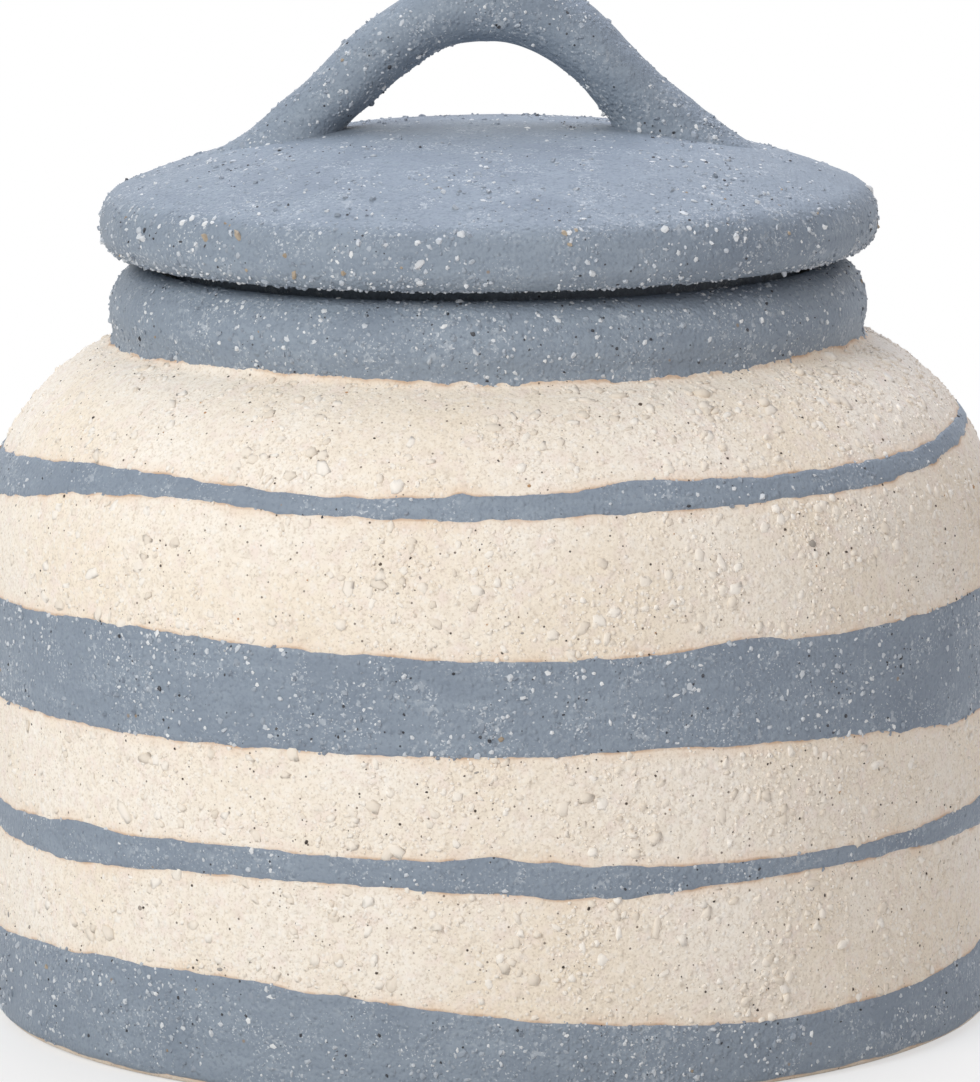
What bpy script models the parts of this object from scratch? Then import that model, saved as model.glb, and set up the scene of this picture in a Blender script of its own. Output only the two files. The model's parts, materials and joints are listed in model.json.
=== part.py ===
"""Lidded stoneware storage jar: a thrown body with brushed slip bands, and a lid with a pulled handle.

Run it with blender --background --python part.py, or from Blender's text editor. Lengths are metres and
+Z is up. The origin is the middle of the foot, on the surface that the jar stands on, and the front of the
jar faces -Y. The lid hangs on an empty on the jar's axis, along which it lifts off.
"""
import math

import bmesh
import bpy
import numpy as np
from mathutils import Vector
from mathutils.geometry import interpolate_bezier

MM = 0.001

# Body: radii are from the axis, and heights above the surface that the jar stands on
BODY_RADIUS = 105.0 * MM
BODY_WALL = 7.5 * MM
FOOT_TAPER = 0.7 * MM
FOOT_EDGE_ROUND = 2.5 * MM
FOOT_RING_WIDTH = 10.0 * MM
FOOT_RECESS = 2.0 * MM
FLOOR_THICKNESS = 8.0 * MM
FLOOR_CORNER_ROUND = 14.0 * MM
SHOULDER_HEIGHT = 98.6 * MM
SHOULDER_RISE = 40.6 * MM
NECK_RADIUS = 77.2 * MM

# Collar: the rounded ring above the neck, and the gallery inside it, on whose ledge the lid's flange stands
COLLAR_HEIGHT = 15.5 * MM
COLLAR_BULGE = 1.0 * MM
COLLAR_BULGE_RISE = 6.1 * MM
COLLAR_WALL = 11.2 * MM
RIM_INNER_ROUND = 3.4 * MM
GALLERY_DEPTH = 11.0 * MM
LEDGE_WIDTH = 6.0 * MM

# Lid: its edge stands out past the neck and clear above the rim, and its flange stands in the gallery
LID_OVERHANG = 3.3 * MM
LID_CLEAR_OF_RIM = 2.65 * MM
LID_EDGE_RISE = 5.65 * MM
LID_EDGE_ROUND = 5.0 * MM
LID_EDGE_THICKNESS = 13.25 * MM
LID_CREASE_INSET = 4.0 * MM
LID_CROWN = 12.4 * MM
LID_THICKNESS = 9.0 * MM
FLANGE_CLEARANCE = 2.5 * MM
FLANGE_WIDTH = 4.0 * MM
FLANGE_CHAMFER = 1.0 * MM

# Handle: the span is between its legs at the lid, and the crest is its centreline's height above the crown
HANDLE_SPAN = 78.5 * MM
HANDLE_CREST = 24.0 * MM
HANDLE_LEG_SLOPE = math.radians(45.0)
HANDLE_ROOT_DEPTH = 26.0 * MM
HANDLE_CREST_THICKNESS = 15.5 * MM
HANDLE_LEG_THICKNESS = 11.2 * MM
HANDLE_TOE = 8.0 * MM
HANDLE_CREST_WIDTH = 16.0 * MM
HANDLE_FOOT_WIDTH = 21.0 * MM

# Slip: thickness of the coat, where the plain coats stop, and the widths of the bands and of the bare clay
# between them, counted up from the foot and, for the shoulder band, down from the neck
COAT = 0.4 * MM
COLLAR_COAT_SKIRT = 0.7 * MM
COLLAR_COAT_STOP = 1.0 * MM
FOOT_COAT_BASE = 1.3 * MM
FOOT_BAND_HEIGHT = 18.6 * MM
BARE_ABOVE_FOOT = 23.3 * MM
LOWER_BAND_WIDTH = 6.1 * MM
BARE_BELOW_BELLY = 20.6 * MM
BELLY_BAND_WIDTH = 21.7 * MM
BARE_BELOW_NECK = 18.2 * MM
SHOULDER_BAND_WIDTH = 5.1 * MM

# How each brushed edge sways about its mean height: lobes round the jar, reach, and bearing of a crest in
# degrees from the front towards +X
FOOT_TOP_SWAY = ((1, 2.2 * MM, -90), (2, 1.7 * MM, -47), (3, 2.1 * MM, -33))
LOWER_BASE_SWAY = ((2, 0.6 * MM, -8), (3, 0.4 * MM, -18), (5, 0.9 * MM, -27))
LOWER_TOP_SWAY = ((1, 0.4 * MM, -64), (2, 0.7 * MM, -29), (3, 1.1 * MM, -25))
BELLY_BASE_SWAY = ((1, 1.3 * MM, -75), (2, 0.8 * MM, -8), (5, 0.6 * MM, 24))
BELLY_TOP_SWAY = ((2, 0.6 * MM, -73), (3, 0.9 * MM, -38), (5, 0.4 * MM, 28))
SHOULDER_BASE_SWAY = ((1, 2.5 * MM, 81), (3, 1.8 * MM, -33), (5, 0.9 * MM, 23))
SHOULDER_TOP_SWAY = ((1, 1.6 * MM, 83), (3, 0.9 * MM, -41), (5, 0.9 * MM, 21))
LEVEL = ()

# Fit and fineness
GAP = 0.3 * MM
FACETS = 48
ARC_STEPS = 6
CURVE_STEPS = 9
HANDLE_STATIONS = 15
HANDLE_SIDES = 16
SHARP_ANGLE = math.radians(40.0)
WELD = 0.001 * MM

# Shape of the curves, as shares of the stretch that each one spans
QUARTER_ROUND = 0.5523
SHOULDER_FULLNESS = 0.45
SHOULDER_REACH = 0.60
SHOULDER_FLATNESS = 0.15
CROWN_POWER = 2.6
ARCH_CREST_PULL = 0.85
ARCH_KNEE_PULL = 0.66
FLARE_POWER = 5
EDGE_CREASE_PULL = 0.6
EDGE_SIDE_PULL = 0.55

# Looks: colour as linear red, green and blue, and roughness
BARE_CLAY = ((0.79, 0.68, 0.53), 0.85)
SLIP = ((0.24, 0.29, 0.36), 0.75)

# Sizes that follow from those above
FOOT_RADIUS = BODY_RADIUS - FOOT_TAPER
NECK_HEIGHT = SHOULDER_HEIGHT + SHOULDER_RISE
RIM_HEIGHT = NECK_HEIGHT + COLLAR_HEIGHT
MOUTH_RADIUS = NECK_RADIUS + COLLAR_BULGE - COLLAR_WALL
COLLAR_RADIUS = NECK_RADIUS + COLLAR_BULGE
INNER_FLOOR = FOOT_RECESS + FLOOR_THICKNESS
RIM_RADIUS = MOUTH_RADIUS + RIM_INNER_ROUND
LEDGE_HEIGHT = RIM_HEIGHT - GALLERY_DEPTH
LEDGE_RADIUS = MOUTH_RADIUS - LEDGE_WIDTH
LID_RADIUS = NECK_RADIUS + LID_OVERHANG
LID_UNDERSIDE = RIM_HEIGHT + LID_CLEAR_OF_RIM
LID_CREASE_RADIUS = LID_RADIUS - LID_CREASE_INSET
CROWN_HEIGHT = LID_UNDERSIDE + LID_EDGE_THICKNESS + LID_CROWN
FLANGE_RADIUS = MOUTH_RADIUS - FLANGE_CLEARANCE
HOLLOW_RADIUS = FLANGE_RADIUS - FLANGE_WIDTH


def clear_scene():
    """Remove every object that the opened file holds."""
    for item in list(bpy.data.objects):
        bpy.data.objects.remove(item, do_unlink=True)


def finish(name, look):
    """Return a plain ceramic material."""
    colour, roughness = look
    material = bpy.data.materials.new(name)
    material.use_nodes = True
    shader = material.node_tree.nodes["Principled BSDF"]
    shader.inputs["Base Color"].default_value = (*colour, 1.0)
    shader.inputs["Roughness"].default_value = roughness
    shader.inputs["Metallic"].default_value = 0.0
    material.diffuse_color = (*colour, 1.0)
    return material


def place(name, shape, look, parent=None):
    """Turn a finished bmesh into a named, smooth-shaded object with a material of its own."""
    bmesh.ops.recalc_face_normals(shape, faces=shape.faces)
    mesh = bpy.data.meshes.new(name)
    shape.to_mesh(mesh)
    shape.free()
    mesh.shade_smooth()
    mesh.set_sharp_from_angle(angle=SHARP_ANGLE)
    mesh.materials.append(finish(name, look))
    item = bpy.data.objects.new(name, mesh)
    bpy.context.scene.collection.objects.link(item)
    if parent is not None:
        item.parent = parent
        item.matrix_parent_inverse = parent.matrix_world.inverted()
    return item


def curve(start, start_pull, end_pull, end, steps=CURVE_STEPS):
    """Return the points of a Bezier stretch in the (radius, height) plane."""
    knots = [Vector(point) for point in (start, start_pull, end_pull, end)]
    return [(point.x, point.y) for point in interpolate_bezier(*knots, steps + 1)]


def quarter(start, corner, end, steps=ARC_STEPS):
    """Return a quarter round from start to end inside the corner that their tangents make."""
    start_pull = Vector(start).lerp(Vector(corner), QUARTER_ROUND)
    end_pull = Vector(end).lerp(Vector(corner), QUARTER_ROUND)
    return curve(start, start_pull, end_pull, end, steps)


def join(*stretches):
    """Chain stretches of outline, dropping the point that each one shares with the one before."""
    outline = []
    for stretch in stretches:
        for point in stretch:
            if not outline or (Vector(point) - Vector(outline[-1])).length > WELD:
                outline.append(point)
    return outline


def spin(outline, closed):
    """Turn an outline of (radius, height) points about the axis; an open one starts and ends on it."""
    shape = bmesh.new()
    points = [shape.verts.new((radius, 0.0, height)) for radius, height in outline]
    pairs = list(zip(points, points[1:]))
    if closed:
        pairs.append((points[-1], points[0]))
    edges = [shape.edges.new(pair) for pair in pairs]
    bmesh.ops.spin(shape, geom=points + edges, cent=(0, 0, 0), axis=(0, 0, 1), dvec=(0, 0, 0),
                   angle=2.0 * math.pi, steps=FACETS, use_merge=True)
    bmesh.ops.remove_doubles(shape, verts=shape.verts, dist=WELD)
    return shape


def outer_wall():
    """Return the outside of the body, from the edge of its flat foot up to the crest of the rim."""
    foot_flat = FOOT_RADIUS - FOOT_EDGE_ROUND
    foot_edge = quarter((foot_flat, 0.0), (FOOT_RADIUS, 0.0), (FOOT_RADIUS, FOOT_EDGE_ROUND))
    wall_rise = SHOULDER_HEIGHT - FOOT_EDGE_ROUND
    wall = curve((FOOT_RADIUS, FOOT_EDGE_ROUND), (FOOT_RADIUS, FOOT_EDGE_ROUND + wall_rise / 3.0),
                 (BODY_RADIUS, SHOULDER_HEIGHT - wall_rise / 3.0), (BODY_RADIUS, SHOULDER_HEIGHT), ARC_STEPS)
    shoulder = shoulder_curve(BODY_RADIUS, NECK_RADIUS, NECK_HEIGHT)
    bulge = NECK_HEIGHT + COLLAR_BULGE_RISE
    waist = curve((NECK_RADIUS, NECK_HEIGHT), (NECK_RADIUS, NECK_HEIGHT + COLLAR_BULGE_RISE / 3.0),
                  (COLLAR_RADIUS, bulge - COLLAR_BULGE_RISE / 3.0), (COLLAR_RADIUS, bulge), ARC_STEPS // 2)
    crest = quarter((COLLAR_RADIUS, bulge), (COLLAR_RADIUS, RIM_HEIGHT), (RIM_RADIUS, RIM_HEIGHT))
    return join(foot_edge, wall, shoulder, waist, crest)


def shoulder_curve(wall_radius, neck_radius, neck_height):
    """Return the round turn from an upright wall into a neck."""
    width = wall_radius - neck_radius
    rise = neck_height - SHOULDER_HEIGHT
    return curve((wall_radius, SHOULDER_HEIGHT),
                 (wall_radius, SHOULDER_HEIGHT + SHOULDER_FULLNESS * rise),
                 (neck_radius + SHOULDER_REACH * width, neck_height - SHOULDER_FLATNESS * rise),
                 (neck_radius, neck_height))


def jar_body():
    """Body: foot ring, wall, shoulder and collar outside, and the gallery and the hollow inside."""
    foot_flat = FOOT_RADIUS - FOOT_EDGE_ROUND
    ring_inside = foot_flat - FOOT_RING_WIDTH
    underside = [(0.0, FOOT_RECESS), (ring_inside - FOOT_RECESS, FOOT_RECESS), (ring_inside, 0.0)]
    inner_radius = BODY_RADIUS - BODY_WALL
    rim_turn = quarter((RIM_RADIUS, RIM_HEIGHT), (MOUTH_RADIUS, RIM_HEIGHT),
                       (MOUTH_RADIUS, RIM_HEIGHT - RIM_INNER_ROUND), ARC_STEPS // 2)
    ledge = [(MOUTH_RADIUS, LEDGE_HEIGHT), (LEDGE_RADIUS, LEDGE_HEIGHT)]
    inner_shoulder = shoulder_curve(inner_radius, LEDGE_RADIUS, LEDGE_HEIGHT - BODY_WALL)[::-1]
    floor_turn = quarter((inner_radius, INNER_FLOOR + FLOOR_CORNER_ROUND), (inner_radius, INNER_FLOOR),
                         (inner_radius - FLOOR_CORNER_ROUND, INNER_FLOOR), ARC_STEPS // 2)
    outline = join(underside, outer_wall(), rim_turn, ledge, inner_shoulder, floor_turn, [(0.0, INNER_FLOOR)])
    return place("jar_body", spin(outline, closed=False), BARE_CLAY)


class Wall:
    """The outside of the body, walked by distance along its outline, for what is brushed onto it."""

    def __init__(self):
        outline = np.array(outer_wall())
        steps = np.hypot(*np.diff(outline, axis=0).T)
        self.radii, self.heights = outline.T
        self.along = np.concatenate(([0.0], np.cumsum(steps)))

    def distance(self, height):
        """Return how far along the outline the wall reaches a height."""
        return float(np.interp(height, self.heights, self.along))

    def point(self, distance):
        """Return the wall's (radius, height) at a distance along it."""
        radius = np.interp(distance, self.along, self.radii)
        return Vector((radius, np.interp(distance, self.along, self.heights)))

    def lifted(self, distance, clear):
        """Return the point that stands clear of the wall along its normal."""
        reach = GAP
        heading = self.point(distance + reach) - self.point(distance - reach)
        heading.normalize()
        return self.point(distance) + clear * Vector((heading.y, -heading.x))


def edge_height(mean, sways, bearing):
    """Return the height of a brushed edge at a bearing from the front."""
    height = mean
    for lobes, reach, crest in sways:
        height += reach * math.cos(lobes * (bearing - math.radians(crest)))
    return height


def slip_coat(name, base, base_sway, top, top_sway):
    """Coat of slip between two edges: a hoop is spun, then each of its points is laid on the wall."""
    wall = Wall()
    start, end = wall.distance(base), wall.distance(top)
    bends = [float(distance) for distance in wall.along if start < distance < end]
    shares = [(distance - start) / (end - start) for distance in (start, *bends, end)]
    inner, outer = 1.0, 2.0
    section = [(inner, share) for share in shares] + [(outer, share) for share in reversed(shares)]
    shape = spin(section, closed=True)
    for point in shape.verts:
        bearing = math.atan2(point.co.x, -point.co.y)
        clear = GAP if point.co.xy.length < (inner + outer) / 2.0 else GAP + COAT
        start = wall.distance(edge_height(base, base_sway, bearing))
        end = wall.distance(edge_height(top, top_sway, bearing))
        radius, height = wall.lifted(start + point.co.z * (end - start), clear)
        point.co = (radius * math.sin(bearing), -radius * math.cos(bearing), height)
    return place(name, shape, SLIP)


def slip_coats():
    """Brush on the collar's coat and the four bands."""
    lower_base = FOOT_BAND_HEIGHT + BARE_ABOVE_FOOT
    lower_top = lower_base + LOWER_BAND_WIDTH
    belly_base = lower_top + BARE_BELOW_BELLY
    shoulder_top = NECK_HEIGHT - BARE_BELOW_NECK
    slip_coat("collar_slip_coat", NECK_HEIGHT - COLLAR_COAT_SKIRT, LEVEL,
              RIM_HEIGHT - COLLAR_COAT_STOP, LEVEL)
    slip_coat("shoulder_slip_band", shoulder_top - SHOULDER_BAND_WIDTH, SHOULDER_BASE_SWAY,
              shoulder_top, SHOULDER_TOP_SWAY)
    slip_coat("belly_slip_band", belly_base, BELLY_BASE_SWAY, belly_base + BELLY_BAND_WIDTH, BELLY_TOP_SWAY)
    slip_coat("lower_slip_band", lower_base, LOWER_BASE_SWAY, lower_top, LOWER_TOP_SWAY)
    slip_coat("foot_slip_band", FOOT_COAT_BASE, LEVEL, FOOT_BAND_HEIGHT, FOOT_TOP_SWAY)


def crown(radius):
    """Return the height of the lid's top: flatter in the middle than a ball, and steeper at its edge."""
    return CROWN_HEIGHT - LID_CROWN * (radius / LID_CREASE_RADIUS) ** CROWN_POWER


def crown_curve(reach, lift):
    """Return the top of the lid from the axis out to a radius, raised or lowered by a lift."""
    radii = [reach * step / CURVE_STEPS for step in range(CURVE_STEPS + 1)]
    return [(radius, crown(radius) + lift) for radius in radii]


def lid_disc(parent):
    """Lid: domed top, soft edge, flat underside and the hollow that the flange goes round."""
    widest = LID_UNDERSIDE + LID_EDGE_RISE
    crease = (LID_CREASE_RADIUS, crown(LID_CREASE_RADIUS))
    crease_slope = CROWN_POWER * LID_CROWN / LID_CREASE_RADIUS
    pull = EDGE_CREASE_PULL * LID_CREASE_INSET
    side_pull = widest + EDGE_SIDE_PULL * (crease[1] - widest)
    edge_top = curve(crease, (crease[0] + pull, crease[1] - pull * crease_slope),
                     (LID_RADIUS, side_pull), (LID_RADIUS, widest), ARC_STEPS)
    edge_base = quarter((LID_RADIUS, widest), (LID_RADIUS, LID_UNDERSIDE),
                        (LID_RADIUS - LID_EDGE_ROUND, LID_UNDERSIDE))
    ceiling = crown_curve(HOLLOW_RADIUS - LID_THICKNESS, -LID_THICKNESS)[::-1]
    hollow_turn = quarter((HOLLOW_RADIUS, LID_UNDERSIDE), (HOLLOW_RADIUS, ceiling[0][1]), ceiling[0],
                          ARC_STEPS // 2)
    outline = join(crown_curve(LID_CREASE_RADIUS, 0.0), edge_top, edge_base, hollow_turn, ceiling)
    return place("lid_disc", spin(outline, closed=False), SLIP, parent)


def lid_flange(parent):
    """Ring luted under the lid, which stands on the ledge in the jar's mouth."""
    top = LID_UNDERSIDE - GAP
    base = LEDGE_HEIGHT + GAP
    outside = [(FLANGE_RADIUS, top), (FLANGE_RADIUS, base + FLANGE_CHAMFER)]
    underside = [(FLANGE_RADIUS - FLANGE_CHAMFER, base), (HOLLOW_RADIUS + FLANGE_CHAMFER, base)]
    inside = [(HOLLOW_RADIUS, base + FLANGE_CHAMFER), (HOLLOW_RADIUS, top)]
    section = outside + underside + inside
    return place("lid_flange", spin(section, closed=True), BARE_CLAY, parent)


def handle_path():
    """Return half of the handle's centreline in (x, z), from its crest down into the lid."""
    foot = Vector((HANDLE_SPAN / 2.0, crown(HANDLE_SPAN / 2.0)))
    down = Vector((math.cos(HANDLE_LEG_SLOPE), -math.sin(HANDLE_LEG_SLOPE)))
    crest = Vector((0.0, CROWN_HEIGHT + HANDLE_CREST))
    corner = Vector((foot.x - (crest.y - foot.y) / math.tan(HANDLE_LEG_SLOPE), crest.y))
    knee = corner.lerp(foot, ARCH_KNEE_PULL)
    arch = curve(crest, crest.lerp(corner, ARCH_CREST_PULL), knee.lerp(corner, ARCH_KNEE_PULL), knee)
    legs = HANDLE_STATIONS - CURVE_STEPS
    root = foot + HANDLE_ROOT_DEPTH * down
    return join(arch, [tuple(knee.lerp(root, step / legs)) for step in range(legs + 1)])


def handle_section(centre, normal, share):
    """Return the ring of points round one station; share runs from 0 at the crest to 1 at the root."""
    slim = min(1.0, share * HANDLE_STATIONS / CURVE_STEPS)
    thickness = HANDLE_CREST_THICKNESS + slim * (HANDLE_LEG_THICKNESS - HANDLE_CREST_THICKNESS)
    width = HANDLE_CREST_WIDTH + share ** FLARE_POWER * (HANDLE_FOOT_WIDTH - HANDLE_CREST_WIDTH)
    toe = HANDLE_TOE * share ** FLARE_POWER
    ring = []
    for side in range(HANDLE_SIDES):
        turn = 2.0 * math.pi * side / HANDLE_SIDES
        lift = math.sin(turn) * (thickness / 2.0 + (toe if math.sin(turn) > 0.0 else 0.0))
        place_xz = centre + lift * normal
        ring.append((place_xz.x, math.cos(turn) * width / 2.0, place_xz.y))
    return ring


def handle_rings():
    """Return the rings of the whole handle, from the root at -X over the crest to the root at +X."""
    half = [Vector(point) for point in handle_path()]
    rings = []
    for index, centre in enumerate(half):
        heading = half[min(index + 1, len(half) - 1)] - half[max(index - 1, 0)]
        if index == 0:
            heading = Vector((1.0, 0.0))
        heading.normalize()
        rings.append(handle_section(centre, Vector((-heading.y, heading.x)), index / (len(half) - 1)))
    mirrored = [[(-x, y, z) for x, y, z in ring] for ring in rings[:0:-1]]
    return mirrored + rings


def lid_handle(parent):
    """Pulled handle: rings skinned from root to root, then cut off where they meet the lid's top."""
    shape = bmesh.new()
    rings = [[shape.verts.new(point) for point in ring] for ring in handle_rings()]
    for ring, following in zip(rings, rings[1:]):
        for side in range(HANDLE_SIDES):
            after = (side + 1) % HANDLE_SIDES
            shape.faces.new((ring[side], ring[after], following[after], following[side]))
    shape.faces.new(rings[0])
    shape.faces.new(rings[-1])
    handle = place("lid_handle", shape, SLIP, parent)
    cut = handle.modifiers.new("cut_to_lid_top", "BOOLEAN")
    cut.operation = "DIFFERENCE"
    cut.solver = "EXACT"
    cut.object = lid_top_cutter(parent)
    return handle


def lid_top_cutter(parent):
    """Guide solid under the lid's top, standing the gap proud of it, that trims the handle's feet."""
    depth = HANDLE_SPAN
    underside = [(LID_RADIUS, CROWN_HEIGHT - depth), (0.0, CROWN_HEIGHT - depth)]
    outline = join(crown_curve(LID_RADIUS, GAP), underside)
    cutter = place("lid_top_cutter", spin(outline, closed=False), SLIP, parent)
    cutter.hide_render = True
    cutter.display_type = "WIRE"
    return cutter


def lift_axis():
    """Empty on the jar's axis at the ledge, which carries the lid."""
    empty = bpy.data.objects.new("lid_lift_axis", None)
    empty.location = (0.0, 0.0, LEDGE_HEIGHT)
    bpy.context.scene.collection.objects.link(empty)
    bpy.context.view_layer.update()
    return empty


def main():
    """Build the jar, its slip and its lid."""
    clear_scene()
    jar_body()
    slip_coats()
    axis = lift_axis()
    lid_disc(axis)
    lid_flange(axis)
    lid_handle(axis)


main()
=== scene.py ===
"""Looks of the lidded stoneware storage jar: gritty cream clay, brushed blue-grey slip and a pulled handle.

Every turned piece is a slab rolled out as a grid, wrapped round the jar's axis along an outline that is read
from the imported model, and welded along its seam. Grit is modelled as a few crumbs, and strewn as copies.
Lengths are metres unless a name ends in _mm. Bearings run from the front of the jar (-Y) towards +X.
"""
from __future__ import annotations

import itertools
import json
import logging
import math
from dataclasses import dataclass, field
from enum import Enum
from typing import Any, Callable

import bpy
import numpy as np
from mathutils import Euler, Matrix, Vector

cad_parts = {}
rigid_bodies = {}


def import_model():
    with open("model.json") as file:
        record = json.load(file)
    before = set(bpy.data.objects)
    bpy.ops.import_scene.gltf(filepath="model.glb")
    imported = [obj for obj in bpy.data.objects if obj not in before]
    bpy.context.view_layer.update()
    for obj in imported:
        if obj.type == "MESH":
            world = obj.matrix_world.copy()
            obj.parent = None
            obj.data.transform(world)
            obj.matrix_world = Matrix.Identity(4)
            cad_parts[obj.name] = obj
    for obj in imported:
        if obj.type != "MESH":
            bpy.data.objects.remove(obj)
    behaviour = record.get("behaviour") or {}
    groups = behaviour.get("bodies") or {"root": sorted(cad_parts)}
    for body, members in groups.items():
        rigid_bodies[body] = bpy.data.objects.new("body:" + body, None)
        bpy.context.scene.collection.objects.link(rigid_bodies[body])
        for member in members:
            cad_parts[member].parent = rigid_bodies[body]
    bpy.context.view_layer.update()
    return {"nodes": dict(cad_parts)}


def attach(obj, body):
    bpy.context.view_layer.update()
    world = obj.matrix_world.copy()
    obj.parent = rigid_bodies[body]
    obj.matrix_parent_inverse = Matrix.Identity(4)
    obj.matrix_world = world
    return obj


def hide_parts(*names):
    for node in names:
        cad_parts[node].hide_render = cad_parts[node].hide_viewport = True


Points = np.ndarray
Piece = bpy.types.Object
Material = bpy.types.Material
Socket = bpy.types.NodeSocket
Tree = bpy.types.NodeTree
Keep = Callable[[Points, Points], Points]

MM = 0.001
WELD = 0.002 * MM
LATTICE = 32
OUTLINE_STEP = 0.25 * MM
OUTLINE_SOFTNESS = 0.7 * MM
SOFT_TAILS = 3.0
CORNER = math.radians(35.0)
FULL_TURN = 2.0 * math.pi
LOG = logging.getLogger("storage_jar")


class Body(Enum):
    """The two pieces that come apart by hand."""

    JAR = "jar"
    LID = "lid"


class Slot(Enum):
    """The record's material slots."""

    CLAY = "cream_stoneware"
    SLIP = "blue_grey_slip"


@dataclass(frozen=True)
class CrumbShape:
    """A crumb one unit wide.

    Attributes:
        corners: Corners round it.
        rows: Rows of faces up it.
        height: How high it is.
        knock: How far its corners are knocked about.
        lies_flat: Whether it lies flat on the surface or is tumbled any way.
    """

    corners: int
    rows: int
    height: float
    knock: float
    lies_flat: bool


class Crumb(Enum):
    """Shapes of grit."""

    CHIP = CrumbShape(6, 4, 0.75, 0.18, False)
    SAND = CrumbShape(5, 3, 0.9, 0.1, False)
    GRAIN = CrumbShape(5, 3, 0.55, 0.2, True)
    FLAKE = CrumbShape(7, 4, 0.4, 0.24, True)
    BLISTER = CrumbShape(8, 4, 0.5, 0.02, True)


# Meshes read and shaped in bulk


def read_places(piece: Piece) -> Points:
    """Read where a piece's vertices are.

    Args:
        piece: The piece.

    Returns:
        One row of x, y and z for each vertex.
    """
    places = np.empty(3 * len(piece.data.vertices), dtype=np.float32)
    piece.data.vertices.foreach_get("co", places)
    return places.reshape(-1, 3).astype(float)


def set_places(piece: Piece, places: Points) -> None:
    """Move a piece's vertices to new places."""
    piece.data.vertices.foreach_set("co", places.astype(np.float32).ravel())
    piece.data.update()


def mark(piece: Piece, name: str, values: Points) -> None:
    """Give every vertex of a piece a named number that its finish reads."""
    attribute = piece.data.attributes.new(name, "FLOAT", "POINT")
    attribute.data.foreach_set("value", values.astype(np.float32))


def rolled_slab(name: str, around: int, rows: int) -> tuple[Piece, Points, Points]:
    """Roll out a flat slab as a unit grid.

    Args:
        name: Name of the piece.
        around: Faces from the left of the slab to its right.
        rows: Faces from the bottom of the slab to its top.

    Returns:
        The slab, and for each vertex its share across and up.
    """
    bpy.ops.object.select_all(action="DESELECT")
    bpy.ops.mesh.primitive_grid_add(x_subdivisions=around, y_subdivisions=rows, size=1.0)
    slab = bpy.context.active_object
    slab.name = name
    slab.data.name = name
    across, up, _ = (read_places(slab) + 0.5).T
    return slab, across, up


def closed_up(slab: Piece) -> None:
    """Weld a wrapped slab along its seam and poles, turn its faces outwards and shade it smooth.

    Args:
        slab: The wrapped slab.
    """
    bpy.context.view_layer.objects.active = slab
    bpy.ops.object.mode_set(mode="EDIT")
    bpy.ops.mesh.select_all(action="SELECT")
    bpy.ops.mesh.remove_doubles(threshold=WELD)
    bpy.ops.mesh.normals_make_consistent(inside=False)
    bpy.ops.object.mode_set(mode="OBJECT")
    bpy.ops.object.shade_smooth()


def share_up(slab: Piece) -> Points:
    """Return how far up a slab, still rolled out flat, each of its faces lies, as a share."""
    return np.array([face.center.y + 0.5 for face in slab.data.polygons])


def dress(piece: Piece, finish: Material, other: Material | None = None,
          where: Points | None = None) -> None:
    """Give a piece its finish, and another one on some of its faces.

    Args:
        piece: The piece.
        finish: Its finish.
        other: The finish of some faces.
        where: For each face, whether it has the other finish.
    """
    piece.data.materials.append(finish)
    if other is not None:
        piece.data.materials.append(other)
        piece.data.polygons.foreach_set("material_index", where.astype(np.int32))


def smooth_step(value: Points) -> Points:
    """Ease a value from 0 to 1."""
    share = np.clip(value, 0.0, 1.0)
    return share * share * (3.0 - 2.0 * share)


@dataclass(frozen=True)
class Unevenness:
    """Soft seeded noise in space, from -1 to 1, with bumps of a real size."""

    size_mm: float
    seed: int

    def at(self, places: Points) -> Points:
        """Return the noise at some places.

        Args:
            places: One row of x, y and z for each place.

        Returns:
            One value for each place.
        """
        lattice = np.random.default_rng(self.seed).uniform(-1.0, 1.0, (LATTICE,) * 3)
        cell = places / (self.size_mm * MM)
        base = np.floor(cell).astype(int)
        share = smooth_step(cell - base)
        total = np.zeros(len(places))
        for corner in itertools.product((0, 1), repeat=3):
            near = np.where(corner, share, 1.0 - share).prod(axis=1)
            total += near * lattice[tuple(((base + corner) % LATTICE).T)]
        return total


# Outlines of turned pieces


def half_section(node: Piece) -> tuple[Points, bool]:
    """Walk the half section of a turned node, in the half plane at +X.

    Args:
        node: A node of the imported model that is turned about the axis.

    Returns:
        Its corners as (radius, height), upwards round the outside, and whether they close a loop. Corners
        that close no loop start and end on the axis, also where a flat face spans it.
    """
    places = read_places(node)
    edges = np.empty(2 * len(node.data.edges), dtype=np.int32)
    node.data.edges.foreach_get("vertices", edges)
    edges = edges.reshape(-1, 2)
    on_plane = (np.abs(places[:, 1]) < WELD) & (places[:, 0] > -WELD)
    keys = [tuple(key) for key in np.round(places[:, (0, 2)] / WELD).astype(int)]
    links: dict[tuple[int, int], set[tuple[int, int]]] = {}
    for first, second in edges[on_plane[edges].all(axis=1)]:
        if keys[first] != keys[second]:
            links.setdefault(keys[first], set()).add(keys[second])
            links.setdefault(keys[second], set()).add(keys[first])
    ends = [key for key, near in links.items() if len(near) == 1]
    trail = [min(ends or links, key=lambda key: (key[1], key[0]))]
    onward = links[trail[0]]
    while onward:
        trail.append(max(onward))
        onward = links[trail[-1]].difference(trail)
    corners = np.array(trail) * WELD
    if ends:
        poles = corners[[0, -1]] * (0.0, 1.0)
        corners = np.vstack((poles[:1], corners[corners[:, 0] > WELD], poles[1:]))
    return corners, not ends


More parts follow.
